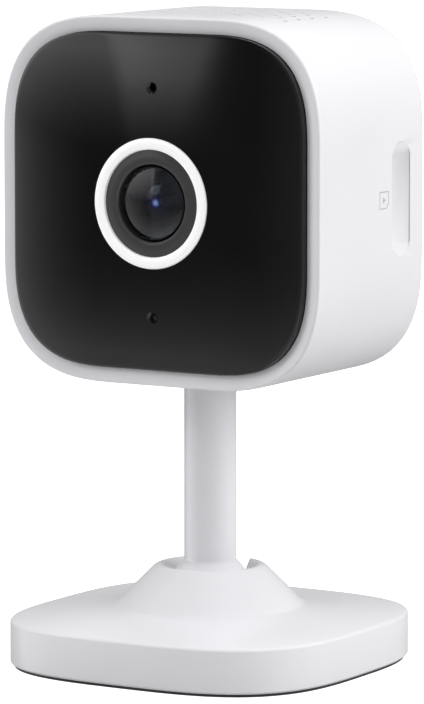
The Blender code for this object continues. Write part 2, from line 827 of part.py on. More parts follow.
def make_frame(look):
    side = outline(FRAME_SIDE, FRAME_SIDE, 0.016, 2.0, steps=4)
    frame = slab("inner_frame", side, FRAME_FRONT, FRAME_BACK, ALONG_Y, look)
    ear_length = (HEAD_WIDTH - 2 * HEAD_WALL - FRAME_SIDE) / 2 - 0.0005
    for sign in (-1, 1):
        x = sign * (FRAME_SIDE / 2 + ear_length / 2 - 0.0005)
        low = LEDGE_BACK + FIT
        join(
            frame,
            box(
                f"frame_ear_{sign + 1}",
                (x, (low + FRAME_BACK) / 2, HEAD_CENTRE_Z),
                (ear_length + 0.001, FRAME_BACK - low, 0.010),
            ),
        )
    for number, (sign_x, sign_z) in enumerate(((-1, 1), (1, 1), (-1, -1), (1, -1))):
        x, z = sign_x * POST_X, sign_z * POST_Z
        low, high = FRAME_BACK - FRAME_THICK / 2, MAIN_BOARD_Y - FIT
        join(frame, rod_y(f"post_{number}", x, z, low, high, POST_RADIUS, sides=16))
        if sign_x == sign_z:
            low, high = MAIN_BOARD_Y - 0.006, MAIN_BOARD_Y + OVER
            cut(frame, rod_y(f"post_pilot_{number}", x, z, low, high, SCREW_RADIUS + FIT, sides=12))
    eye = BARREL_RADIUS + FIT + HOLDER_WALL + 0.0007
    cut(
        frame,
        rod_y("frame_eye", 0, 0, FRAME_FRONT - 0.003, FRAME_BACK + OVER, eye, sides=32),
        box(
            "mic_window",
            (0, (FRAME_FRONT + FRAME_BACK) / 2, HEAD_CENTRE_Z + PORT_OFFSET),
            (0.008, 0.006, 0.0055),
        ),
    )
    return frame


def make_camera_board(green, looks):
    middle = CAMERA_BOARD_Y + BOARD_THICK / 2
    size = (CAMERA_BOARD_WIDTH, BOARD_THICK, CAMERA_BOARD_HEIGHT)
    box("camera_board", (0, middle, HEAD_CENTRE_Z), size, green)
    box(
        "image_sensor",
        (0, CAMERA_BOARD_Y - FIT - 0.00045, HEAD_CENTRE_Z),
        (SENSOR_SIDE, 0.0009, SENSOR_SIDE * 0.86),
        looks["sensor"],
    )
    low, high = CAMERA_BOARD_Y + BOARD_THICK + FIT, MAIN_BOARD_Y - FIT
    connector = box(
        "board_connector",
        (0, (low + high) / 2, HEAD_CENTRE_Z - 0.006),
        (0.012, high - low, 0.0032),
        looks["dark"],
    )
    soften(connector, 0.0003, 1)


def on_board_back(name, x, z, size, look, lift=0.0):
    """A part on the rear of the main board; size is its width, thickness and height."""
    y = MAIN_BOARD_BACK + FIT + lift + size[1] / 2
    return box(name, (x, y, HEAD_CENTRE_Z + z), size, look)


def make_main_board(green, looks):
    shape = outline(MAIN_BOARD_WIDTH, MAIN_BOARD_HEIGHT, 0.012, 2.0, steps=4)
    board = slab("main_board", shape, MAIN_BOARD_Y, MAIN_BOARD_BACK, ALONG_Y, green)
    for number, sign in enumerate((-1, 1)):
        x, z = sign * POST_X, sign * POST_Z
        low, high = MAIN_BOARD_Y - OVER, MAIN_BOARD_BACK + OVER
        cut(board, rod_y(f"board_hole_{number}", x, z, low, high, SCREW_RADIUS + FIT, sides=12))
        under = (x, MAIN_BOARD_BACK + FIT, HEAD_CENTRE_Z + z)
        screw(f"board_screw_{number + 1}", under, "Y", 1, 0.005, looks["metal"])
    chip = on_board_back("soc_chip", CHIP_X, CHIP_Z, (CHIP_SIDE, CHIP_HIGH, CHIP_SIDE), looks["dark"])
    soften(chip, 0.0003, 1)
    pad_size = (CHIP_SIDE, THERMAL_PAD_THICK, CHIP_SIDE)
    on_board_back("thermal_pad", CHIP_X, CHIP_Z, pad_size, looks["pad"], CHIP_HIGH + FIT)
    make_heat_sink(looks["aluminium"])
    can = on_board_back("wifi_module", WIFI_X, WIFI_Z, WIFI_SIZE, looks["metal"])
    soften(can, 0.0004, 2)
    make_card_socket(looks["metal"])
    make_usb(looks)
    make_reset(looks)


def make_heat_sink(look):
    side = CHIP_SIDE + 2 * SINK_BORDER
    lift = CHIP_HIGH + THERMAL_PAD_THICK + 2 * FIT
    sink = on_board_back("heat_sink", CHIP_X, CHIP_Z, (side, SINK_THICK, side), look, lift)
    pitch = (side - FIN_THICK - 0.0001) / (FIN_COUNT - 1)
    fin_size = (FIN_THICK, FIN_HIGH, side - 0.0002)
    for i in range(FIN_COUNT):
        x = CHIP_X + (i - (FIN_COUNT - 1) / 2) * pitch
        join(sink, on_board_back(f"fin_{i}", x, CHIP_Z, fin_size, None, lift + SINK_THICK / 2))


def make_card_socket(look):
    low = MAIN_BOARD_BACK + FIT
    high = slot_y() + SLOT_WIDTH / 2 + 0.0004
    inner_x, outer_x = 0.0115, HEAD_WIDTH / 2 - HEAD_WALL - 0.0012
    socket = box(
        "card_socket",
        ((inner_x + outer_x) / 2, (low + high) / 2, HEAD_CENTRE_Z),
        (outer_x - inner_x, high - low, SLOT_LENGTH + 0.0012),
        look,
    )
    mouth = box(
        "card_mouth",
        (outer_x - 0.0055, slot_y(), HEAD_CENTRE_Z),
        (0.0135, SLOT_WIDTH, SLOT_LENGTH - 0.002),
    )
    cut(socket, mouth)


def make_usb(looks):
    low, high = MAIN_BOARD_BACK + FIT, BACK_Y - 0.0006
    shell = slab("usb_socket", usb_pill(USB_WIDTH, USB_HEIGHT), low, high, ALONG_Y, looks["metal"])
    hollow = usb_pill(USB_WIDTH - 2 * USB_WALL, USB_HEIGHT - 2 * USB_WALL)
    cut(shell, slab("usb_hollow", hollow, low + USB_FLOOR, high + OVER, ALONG_Y))
    tongue_low, tongue_high = low + USB_FLOOR + FIT, high - 0.001
    box(
        "usb_tongue",
        (0, (tongue_low + tongue_high) / 2, HEAD_CENTRE_Z - USB_DROP),
        (USB_WIDTH - 0.0026, tongue_high - tongue_low, 0.0007),
        looks["dark"],
    )


def usb_pill(width, height):
    shape = outline(width, height, height / 2 - 1e-5, 2.0, steps=4)
    return [(x, z - USB_DROP) for x, z in shape]


def make_reset(looks):
    x, z = RESET_X, -USB_DROP
    switch = on_board_back("reset_switch", x, z, (0.0042, RESET_SWITCH_HIGH, 0.0042), looks["dark"])
    soften(switch, 0.0003, 1)
    low = MAIN_BOARD_BACK + FIT + RESET_SWITCH_HIGH + RESET_TRAVEL + FIT
    button = rod_y("reset_button", x, z, low, BACK_Y, RESET_RADIUS, looks["white"], sides=16)
    low, high = COVER_FRONT - FIT - 0.0008, COVER_FRONT - FIT
    join(button, rod_y("reset_flange", x, z, low, high, RESET_RADIUS + 0.0008, sides=16))


def make_speaker(looks):
    top = HEAD_TOP - HEAD_WALL - FIT - 0.0002
    body_top = top - SPEAKER_GASKET_THICK - FIT
    body_low = body_top - SPEAKER_HEIGHT
    shape = outline(SPEAKER_WIDTH, SPEAKER_DEPTH, 0.004, 2.0, steps=4)
    shape = [(x, VENT_CENTRE_Y + y) for x, y in shape]
    body = slab("speaker_body", shape, body_low, body_top, ALONG_Z, looks["dark"])
    edge = SPEAKER_CONE_RADIUS
    bowl = rod("speaker_bowl", (0, VENT_CENTRE_Y, body_top), edge + FIT, 0.0036, sides=28)
    cut(body, bowl)
    low = body_top - 0.0018 + FIT
    turned(
        "speaker_cone",
        [
            (0, low + 0.0010),
            (0.0022, low + 0.0008),
            (0.0028, low + 0.0004),
            (0.0052, low + 0.0012),
            (edge - 0.0005, low + 0.0013),
            (edge, low + 0.0008),
            (edge, low + 0.0005),
            (0.0058, low + 0.0007),
            (0.0028, low),
            (0, low),
        ],
        (0, VENT_CENTRE_Y, 0),
        "Z",
        looks["paper"],
        steps=28,
    )
    ring = slab("speaker_gasket", shape, body_top + FIT, top, ALONG_Z, looks["rubber"])
    cut(ring, rod("gasket_eye", (0, VENT_CENTRE_Y, top), edge + 0.0004, 0.004, sides=28))


def make_antenna(looks):
    wall_x = -HEAD_WIDTH / 2 + HEAD_WALL + FIT
    centre = (wall_x + ANTENNA_THICK / 2, 0.002, HEAD_CENTRE_Z + 0.002)
    box("wifi_antenna", centre, (ANTENNA_THICK, 0.011, 0.006), looks["flex"])
    start_x = WIFI_X - WIFI_SIZE[0] / 2 - CABLE_RADIUS - 0.0001
    start = Vector((start_x, MAIN_BOARD_BACK + 0.0013, HEAD_CENTRE_Z + WIFI_Z))
    end = Vector((wall_x + 0.0013, 0.003, HEAD_CENTRE_Z + 0.0005))
    bends = [
        start,
        start + Vector((-0.0045, 0.0006, 0.0005)),
        Vector((wall_x + 0.0016, MAIN_BOARD_BACK - 0.0005, HEAD_CENTRE_Z - 0.002)),
        end,
    ]
    cable_between("antenna_cable", bends, CABLE_RADIUS, looks["rubber"])


def cable_between(name, bends, radius, look, count=14):
    """A thin round cable on a cubic through four control points."""
    a, b, c, d = bends
    curve = bpy.data.curves.new(name, "CURVE")
    curve.dimensions = "3D"
    curve.bevel_depth = radius
    curve.bevel_resolution = 2
    curve.use_fill_caps = True
    spline = curve.splines.new("POLY")
    spline.points.add(count - 1)
    for i, point in enumerate(spline.points):
        t = i / (count - 1)
        s = 1 - t
        spot = s**3 * a + 3 * s * s * t * b + 3 * s * t * t * c + t**3 * d
        point.co = (*spot, 1)
    obj = bpy.data.objects.new(name, curve)
    bpy.context.scene.collection.objects.link(obj)
    bpy.context.view_layer.update()
    mesh = bpy.data.meshes.new_from_object(obj.evaluated_get(bpy.context.evaluated_depsgraph_get()))
    bpy.data.objects.remove(obj, do_unlink=True)
    return close_up(mesh, name, look)


# ---- Stem -------------------------------------------------------------------------------


def make_stem(white, metal):
    spigot_low = BALL_CENTRE_Z - 0.0005
    turned(
        "stem_pole",
        [
            (SWIVEL_SCREW_RADIUS + FIT, POLE_TOP),
            (STEM_RADIUS, POLE_TOP),
            (STEM_RADIUS, NECK_Z + FIT),
            (SPIGOT_RADIUS, NECK_Z + FIT),
            (SPIGOT_RADIUS, spigot_low),
            (0, spigot_low),
            (0, POLE_TOP - 0.009),
            (SWIVEL_SCREW_RADIUS + FIT, POLE_TOP - 0.009),
        ],
        (0, 0, 0),
        "Z",
        white,
        steps=32,
    )
    neck = math.acos(BALL_NECK / BALL_RADIUS)
    arc = [neck + (math.pi - neck) * i / 10 for i in range(11)]
    sphere = [(BALL_RADIUS * math.sin(a), BALL_RADIUS * math.cos(a)) for a in arc[:-1]]
    turned(
        "stem_ball",
        [
            (SPIGOT_RADIUS + FIT, BALL_NECK),
            *sphere,
            (0, -BALL_RADIUS),
            (0, spigot_low - FIT - BALL_CENTRE_Z),
            (SPIGOT_RADIUS + FIT, spigot_low - FIT - BALL_CENTRE_Z),
        ],
        BALL_CENTRE,
        "Z",
        white,
        steps=32,
    )
    washer_low = POLE_TOP + FIT
    centre = (0, 0, washer_low + WASHER_THICK / 2)
    washer = rod("swivel_washer", centre, WASHER_RADIUS, WASHER_THICK, "Z", metal, sides=28)
    cut(washer, rod("washer_hole", (0, 0, washer_low), SWIVEL_SCREW_RADIUS + FIT, 0.004, sides=16))
    screw(
        "swivel_screw",
        (0, 0, washer_low + WASHER_THICK + FIT),
        "Z",
        1,
        0.009,
        metal,
        SWIVEL_SCREW_RADIUS,
        0.0024,
    )


def make_bush(look):
    low, high = HEAD_BOTTOM + BUSH_SEAT_UP + 2 * FIT, BOSS_TOP - FIT
    inner = STEM_RADIUS + STEM_TURN_GAP
    turned(
        "swivel_bush",
        [(inner, high), (inner + BUSH_WALL, high), (inner + BUSH_WALL, low), (inner, low)],
        (0, 0, 0),
        "Z",
        look,
        steps=32,
    )


# ---- Base -------------------------------------------------------------------------------


def between(one, other, share):
    return [(a + (c - a) * share, b + (d - b) * share) for (a, b), (c, d) in zip(one, other)]


def make_base_shell(look):
    square = base_outline(0.0004)
    angles = [math.atan2(y, x) for x, y in square]
    foot = [(BASE_FOOT_RADIUS * math.cos(a), BASE_FOOT_RADIUS * math.sin(a)) for a in angles]
    rise = BASE_FOOT_Z - BASE_EDGE_Z
    climb = COLLAR_RIM_Z - BASE_FOOT_Z
    sections = [
        (base_outline(0.0003), SHELL_BOTTOM),
        (base_outline(), SHELL_BOTTOM + 0.0003),
        (base_outline(), BASE_EDGE_Z - 0.0004),
        (square, BASE_EDGE_Z),
        (between(square, foot, 0.5), BASE_EDGE_Z + rise * 0.55),
        (foot, BASE_FOOT_Z),
    ]
    collar = BASE_FOOT_RADIUS - COLLAR_RIM_RADIUS
    for out, up in ((0.77, 0.09), (0.6, 0.27), (0.46, 0.49), (0.1, 0.92), (0.0, 0.985), (-0.06, 1.0)):
        radius = COLLAR_RIM_RADIUS + collar * out
        ring = [(radius * math.cos(a), radius * math.sin(a)) for a in angles]
        sections.append((ring, BASE_FOOT_Z + climb * up))
    shell = loft("base_shell", sections, standing, look)
    cut(shell, slab("base_hollow", base_outline(BASE_WALL), -OVER, BASE_HOLLOW_Z, ALONG_Z))
    for i, side in enumerate((-1, 1)):
        x = side * BASE_SCREW_X
        low = PLATE_TOP + FIT
        high = BASE_HOLLOW_Z + OVER
        join(shell, rod(f"base_boss_{i}", (x, 0, (low + high) / 2), BASE_BOSS_RADIUS, high - low))
        cut(shell, rod(f"base_pilot_{i}", (x, 0, low), SCREW_RADIUS + FIT, 0.0068, sides=12))
    cut(shell, socket_cutter(), *notch_cutters())
    return shell


def socket_cutter():
    """Crater above the lip, ball seat below it, and the wider way that the ball goes in by."""
    seat = BALL_RADIUS + FIT
    lip = math.radians(LIP_ANGLE)
    lip_point = (seat * math.sin(lip), seat * math.cos(lip))
    rim_up = COLLAR_RIM_Z - BALL_CENTRE_Z
    arc = [lip + (math.pi / 2 - lip) * i / 3 for i in range(1, 4)]
    throat = seat + LINER_THICK + FIT
    profile = [
        (0, rim_up + 0.002),
        (COLLAR_RIM_RADIUS + 0.0004, rim_up + 0.002),
        (COLLAR_RIM_RADIUS - 0.0007, rim_up - 0.0001),
        (COLLAR_RIM_RADIUS - 0.0012, rim_up - 0.0006),
        lip_point,
        *[(seat * math.sin(a), seat * math.cos(a)) for a in arc],
        (throat, -0.0001),
        (throat, -0.008),
        (0, -0.008),
    ]
    return turned("socket_cut", profile, BALL_CENTRE, "Z", None, steps=36)


def notch_cutters():
    """The way out for the stem when it folds back: a trough under it and a flared gap above."""
    half = STEM_RADIUS + NOTCH_GAP
    top = COLLAR_RIM_Z + 0.002
    wide = half + NOTCH_FLARE
    gap = [(-half, BALL_CENTRE_Z), (half, BALL_CENTRE_Z), (wide, top), (-wide, top)]
    gap = [(x, z - HEAD_CENTRE_Z) for x, z in gap]
    turn = Matrix.Rotation(math.radians(NOTCH_TURN), 4, "Z")
    wedge = slab("notch_gap", gap, 0.0, BASE_FOOT_RADIUS + 0.006, ALONG_Y)
    length = BASE_FOOT_RADIUS + 0.006
    trough = rod("notch_trough", (0, 0, length / 2), half, length, sides=28)
    lean = Matrix.Rotation(math.radians(-LEAN_BACK), 4, "X")
    trough.data.transform(Matrix.Translation(BALL_CENTRE) @ turn @ lean)
    wedge.data.transform(turn)
    return wedge, trough


def make_base_inside(looks):
    make_liner(looks["liner"])
    make_retainer(looks["dark"])
    outer = base_outline(BASE_WALL + 0.0012)
    weight = slab("weight_plate", outer, WEIGHT_Z, WEIGHT_Z + WEIGHT_THICK, ALONG_Z, looks["metal"])
    cut(weight, rod("weight_eye", (0, 0, WEIGHT_Z), RETAINER_RADIUS + 0.0005, 0.01, sides=36))
    plate = slab("base_plate", base_outline(BASE_WALL + FIT), SHELL_BOTTOM, PLATE_TOP, ALONG_Z, looks["dark"])
    for i, side in enumerate((-1, 1)):
        x = side * BASE_SCREW_X
        cut(weight, rod(f"weight_hole_{i}", (x, 0, WEIGHT_Z), BASE_BOSS_RADIUS + FIT, 0.01, sides=20))
        sink_length = 2 * (SCREW_HEAD_THICK + 0.0002)
        cut(
            plate,
            rod(f"plate_hole_{i}", (x, 0, PLATE_TOP), SCREW_RADIUS + FIT, 0.006, sides=12),
            rod(f"plate_sink_{i}", (x, 0, SHELL_BOTTOM), SCREW_HEAD + FIT, sink_length, sides=16),
        )
        under = SHELL_BOTTOM + SCREW_HEAD_THICK - 0.0001
        screw(f"base_screw_{i + 1}", (x, 0, under), "Z", -1, 0.0035, looks["metal"])
    slab("foot_pad", base_outline(PAD_INSET), 0.0, PAD_THICK, ALONG_Z, looks["rubber"])


def make_retainer(look):
    low = WEIGHT_Z
    liner_outer = BALL_RADIUS + FIT + LINER_THICK
    throat = math.sqrt(liner_outer**2 - (BALL_CENTRE_Z - RETAINER_TOP) ** 2) + 2 * FIT
    turned(
        "ball_retainer",
        [
            (throat, RETAINER_TOP),
            (RETAINER_RADIUS, RETAINER_TOP),
            (RETAINER_RADIUS, low),
            (throat, low),
        ],
        (0, 0, 0),
        "Z",
        look,
    )


def make_liner(look):
    inner = BALL_RADIUS + FIT
    outer = inner + LINER_THICK
    top = math.radians(LEAN_BACK + 5) + math.asin(STEM_RADIUS / inner)
    bottom = math.radians(LINER_BOTTOM)
    arc = [top + (bottom - top) * i / 3 for i in range(4)]
    turned(
        "ball_liner",
        [
            *[(outer * math.sin(a), outer * math.cos(a)) for a in arc],
            *[(inner * math.sin(a), inner * math.cos(a)) for a in reversed(arc)],
        ],
        BALL_CENTRE,
        "Z",
        look,
    )


def main():
    white = material("white shell", WHITE, 0.3)
    gloss = material("black acrylic", BLACK, 0.04)
    dark = material("black plastic", (0.02, 0.02, 0.022), 0.4)
    grey = material("dark grey ring", (0.06, 0.06, 0.065), 0.35)
    green = material("circuit board", GREEN, 0.45)
    metal = material("plated steel", STEEL, 0.3, 1.0)
    glass = material("coated glass", (0.02, 0.02, 0.04), 0.02)
    rubber = material("black rubber", (0.03, 0.03, 0.03), 0.8)
    looks = {
        "white": white,
        "dark": dark,
        "metal": metal,
        "rubber": rubber,
        "led": material("infrared emitter", (0.08, 0.07, 0.09), 0.2),
        "clear": material("clear resin", (0.7, 0.7, 0.68), 0.15),
        "sensor": material("sensor glass", (0.05, 0.08, 0.09), 0.1),
        "pad": material("thermal pad", (0.45, 0.5, 0.6), 0.9),
        "aluminium": material("aluminium", (0.7, 0.7, 0.72), 0.35, 1.0),
        "paper": material("speaker paper", (0.05, 0.05, 0.05), 0.8),
        "flex": material("flex copper", (0.45, 0.25, 0.08), 0.4, 0.6),
        "liner": material("slippery liner", (0.75, 0.75, 0.72), 0.5),
    }
    filters = {
        "ir_filter": material("infrared filter", (0.25, 0.05, 0.12), 0.05),
        "clear_filter": material("clear filter", (0.8, 0.85, 0.85), 0.05),
    }
    make_housing(white)
    make_rear_cover(white)
    make_cover_screws(metal)
    make_front_panel(gloss)
    make_lens_trim(white, grey)
    make_lens(dark, glass)
    make_lens_holder(dark)
    make_filters(dark, filters)
    make_led_board(green, looks)
    make_frame(dark)
    make_camera_board(green, looks)
    make_main_board(green, looks)
    make_speaker(looks)
    make_antenna(looks)
    make_bush(looks["liner"])
    make_stem(white, metal)
    make_base_shell(white)
    make_base_inside(looks)
    smooth_round_faces()


main()
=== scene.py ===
import math

import bmesh
import bpy
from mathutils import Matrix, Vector


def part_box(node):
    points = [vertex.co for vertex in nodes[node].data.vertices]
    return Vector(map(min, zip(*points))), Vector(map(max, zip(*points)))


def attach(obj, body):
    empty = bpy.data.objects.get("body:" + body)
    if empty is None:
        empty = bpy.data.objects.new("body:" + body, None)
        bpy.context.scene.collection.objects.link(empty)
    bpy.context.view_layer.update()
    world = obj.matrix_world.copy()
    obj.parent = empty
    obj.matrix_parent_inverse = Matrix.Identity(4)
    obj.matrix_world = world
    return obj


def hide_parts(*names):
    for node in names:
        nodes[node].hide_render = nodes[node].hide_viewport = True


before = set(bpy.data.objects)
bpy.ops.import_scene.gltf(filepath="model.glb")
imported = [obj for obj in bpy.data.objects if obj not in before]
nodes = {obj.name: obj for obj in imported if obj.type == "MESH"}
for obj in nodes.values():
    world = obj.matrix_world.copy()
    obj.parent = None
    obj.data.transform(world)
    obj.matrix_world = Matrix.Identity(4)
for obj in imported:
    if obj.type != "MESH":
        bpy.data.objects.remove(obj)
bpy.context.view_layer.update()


# Modelling helpers

def onlyThis(piece):
    bpy.ops.object.select_all(action="DESELECT")
    piece.select_set(True)
    bpy.context.view_layer.objects.active = piece


def editThis(piece, mode="VERT"):
    onlyThis(piece)
    bpy.ops.object.mode_set(mode="EDIT")
    bpy.ops.mesh.select_mode(type=mode)
    bpy.ops.mesh.select_all(action="SELECT")


def leaveEdit(piece):
    bpy.ops.mesh.select_all(action="SELECT")
    bpy.ops.mesh.remove_doubles(threshold=1e-6)
    bpy.ops.mesh.normals_make_consistent(inside=False)
    bpy.ops.object.mode_set(mode="OBJECT")
    return piece


def settle(name):
    piece = bpy.context.object
    piece.name = name
    piece.data.name = name
    bpy.ops.object.transform_apply(location=True, rotation=True, scale=True)
    return piece


def pickFaces(piece, test):
    # selects the faces whose middle and normal pass the test
    work = bmesh.from_edit_mesh(piece.data)
    bpy.ops.mesh.select_mode(type="FACE")
    bpy.ops.mesh.select_all(action="DESELECT")
    for face in work.faces:
        face.select_set(test(face.calc_center_median(), face.normal))
    bmesh.update_edit_mesh(piece.data)


def pickEdges(piece, test):
    # selects the edges whose two ends pass the test
    work = bmesh.from_edit_mesh(piece.data)
    bpy.ops.mesh.select_mode(type="EDGE")
    bpy.ops.mesh.select_all(action="DESELECT")
    for edge in work.edges:
        edge.select_set(all(test(corner.co) for corner in edge.verts))
    bmesh.update_edit_mesh(piece.data)


def extrude(move):
    bpy.ops.mesh.extrude_region_move(TRANSFORM_OT_translate={"value": tuple(move)})


def applyLast(piece):
    onlyThis(piece)
    bpy.ops.object.modifier_apply(modifier=piece.modifiers[-1].name)


def carve(piece, *tools, operation="DIFFERENCE"):
    for tool in tools:
        step = piece.modifiers.new("carve", "BOOLEAN")
        step.object = tool
        step.operation = operation
        step.solver = "EXACT"
        applyLast(piece)
        bpy.data.objects.remove(tool, do_unlink=True)
    return piece


def roundEdges(piece, width, segments=3, angle=40):
    step = piece.modifiers.new("rounded edges", "BEVEL")
    step.width = width
    step.segments = segments
    step.limit_method = "ANGLE"
    step.angle_limit = math.radians(angle)
    applyLast(piece)
    return piece


facings = {
    "front": (Vector((0, -1, 0)), (math.pi / 2, 0, 0)),
    "side": (Vector((1, 0, 0)), (math.pi / 2, 0, math.pi / 2)),
    "up": (Vector((0, 0, 1)), (0, 0, 0)),
    "back": (Vector((0, 1, 0)), (-math.pi / 2, 0, 0)),
}


def roundedFace(name, size, corner, power, segments, centre, facing):
    # a rectangle whose corners are superellipse arcs: a bevel profile of 0.25 ** (1 / power)
    bpy.ops.object.select_all(action="DESELECT")
    bpy.ops.mesh.primitive_plane_add(size=1, location=centre, rotation=facings[facing][1])
    bpy.context.object.scale = (size[0], size[1], 1)
    piece = settle(name)
    editThis(piece)
    bpy.ops.mesh.bevel(
        offset=corner, segments=segments, profile=0.25 ** (1 / power), affect="VERTICES", clamp_overlap=False
    )
    bpy.ops.mesh.select_all(action="SELECT")
    bpy.ops.mesh.remove_doubles(threshold=1e-6)
    bpy.ops.mesh.select_mode(type="FACE")
    bpy.ops.mesh.select_all(action="SELECT")
    return piece


def roundedBlock(name, size, corner, power, segments, centre, facing, depth):
    # the rounded face pushed back by the depth, away from where it faces
    piece = roundedFace(name, size, corner, power, segments, centre, facing)
    extrude(-depth * facings[facing][0])
    return leaveEdit(piece)


def pill(name, size, centre, facing, depth, segments=12):
    # a block whose two ends are full half circles, but for a hair of flat between the arcs
    return roundedBlock(name, size, min(size) / 2 - 1e-5, 2.0, segments, centre, facing, depth)


def ringProfile(name, profile, centre, facing, sides=96, capped=False):
    # a circle drawn out loop by loop along (radius, height) points, height towards where it faces
    along, turn = facings[facing]
    radius, height = profile[0]
    bpy.ops.object.select_all(action="DESELECT")
    bpy.ops.mesh.primitive_circle_add(
        vertices=sides, radius=radius, fill_type="NGON" if capped else "NOTHING",
        location=Vector(centre) + along * height, rotation=turn,
    )
    piece = settle(name)
    editThis(piece, "FACE" if capped else "EDGE")
    keep = Vector([1 - abs(part) for part in along])
    for newRadius, newHeight in profile[1:]:
        extrude(along * (newHeight - height))
        share = newRadius / radius
        scale = [share if side else 1 for side in keep]
        bpy.ops.transform.resize(value=scale, center_override=Vector(centre) + along * newHeight)
        radius, height = newRadius, newHeight
    return leaveEdit(piece)


def bar(name, size, centre, turn=(0, 0, 0)):
    # a plain bar, used only to cut with or to join into a piece
    bpy.ops.object.select_all(action="DESELECT")
    bpy.ops.mesh.primitive_cube_add(size=1, location=centre, rotation=turn)
    bpy.context.object.scale = size
    return settle(name)


def pin(name, radius, length, centre, turn=(0, 0, 0), sides=48):
    bpy.ops.object.select_all(action="DESELECT")
    bpy.ops.mesh.primitive_cylinder_add(
        vertices=sides, radius=radius, depth=length, location=centre, rotation=turn
    )
    return settle(name)


def joinAll(pieces):
    onlyThis(pieces[0])
    for piece in pieces:
        piece.select_set(True)
    bpy.ops.object.join()
    return pieces[0]


def smooth(piece, angle=32):
    onlyThis(piece)
    bpy.ops.object.shade_smooth_by_angle(angle=math.radians(angle))
    return piece


def finishPiece(piece, look, body, slotName, *replaced):
    smooth(piece)
    piece.data.materials.clear()
    piece.data.materials.append(look)
    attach(piece, body)
    if replaced:
        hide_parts(*replaced)
    return piece


def middle(name):
    low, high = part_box(name)
    return (low + high) / 2


print("finishes")


# Shader groups: each puts out only colours, values and normals

def newGroup(name, inputs, outputs):
    group = bpy.data.node_groups.new(name, "ShaderNodeTree")
    for title, kind, start in inputs:
        socket = group.interface.new_socket(name=title, in_out="INPUT", socket_type=kind)
        socket.default_value = start
    for title, kind in outputs:
        group.interface.new_socket(name=title, in_out="OUTPUT", socket_type=kind)
    entry = group.nodes.new("NodeGroupInput")
    leave = group.nodes.new("NodeGroupOutput")
    return group, entry, leave


def addNode(tree, kind, values=(), links=()):
    node = tree.nodes.new(kind)
    for key, value in values:
        if isinstance(key, str) and hasattr(node, key) and key not in node.inputs:
            setattr(node, key, value)
        else:
            node.inputs[key].default_value = value
    for key, source in links:
        tree.links.new(source, node.inputs[key])
    return node


def noise(tree, place, scale, detail):
    made = addNode(
        tree, "ShaderNodeTexNoise", [("Scale", scale), ("Detail", detail)], [("Vector", place)]
    )
    return made.outputs["Fac"]


def makeMouldedGroup():
    # the skin of a moulded part: slow cloudiness, fine pebble and a little haze from handling
    group, entry, leave = newGroup(
        "mouldedSkin",
        [
            ("Color", "NodeSocketColor", (0.8, 0.8, 0.8, 1)),
            ("Cloud Color", "NodeSocketColor", (0.7, 0.7, 0.7, 1)),
            ("Roughness", "NodeSocketFloat", 0.3),
            ("Haze", "NodeSocketFloat", 0.05),
            ("Pebble Size", "NodeSocketFloat", 2500.0),
            ("Pebble Depth", "NodeSocketFloat", 0.00001),
        ],
        [("Color", "NodeSocketColor"), ("Roughness", "NodeSocketFloat"), ("Normal", "NodeSocketVector")],
    )
    place = addNode(group, "ShaderNodeTexCoord").outputs["Object"]
    handling = addNode(
        group, "ShaderNodeTexNoise", [("Scale", 190.0), ("Detail", 5.0), ("Roughness", 0.65)],
        [("Vector", place)],
    )
    pebble = addNode(
        group, "ShaderNodeTexNoise", [("Detail", 2.0)],
        [("Vector", place), ("Scale", entry.outputs["Pebble Size"])],
    )
    cloud = addNode(
        group, "ShaderNodeMapRange", [("From Min", 0.35), ("From Max", 0.7)],
        [("Value", noise(group, place, 42.0, 3.0))],
    )
    tone = addNode(
        group, "ShaderNodeMix", [("data_type", "RGBA")],
        [(0, cloud.outputs["Result"]), (6, entry.outputs["Color"]), (7, entry.outputs["Cloud Color"])],
    )
    haze = addNode(
        group, "ShaderNodeMapRange",
        [("From Min", 0.3), ("From Max", 0.7), ("To Min", -1.0), ("To Max", 1.0)],
        [("Value", handling.outputs["Fac"])],
    )
    rough = addNode(
        group, "ShaderNodeMath", [("operation", "MULTIPLY_ADD"), ("use_clamp", True)],
        [(0, haze.outputs["Result"]), (1, entry.outputs["Haze"]), (2, entry.outputs["Roughness"])],
    )
    bump = addNode(
        group, "ShaderNodeBump", [("Strength", 1.0)],
        [("Height", pebble.outputs["Fac"]), ("Distance", entry.outputs["Pebble Depth"])],
    )
    group.links.new(tone.outputs[2], leave.inputs["Color"])
    group.links.new(rough.outputs[0], leave.inputs["Roughness"])
    group.links.new(bump.outputs[0], leave.inputs["Normal"])
    return group


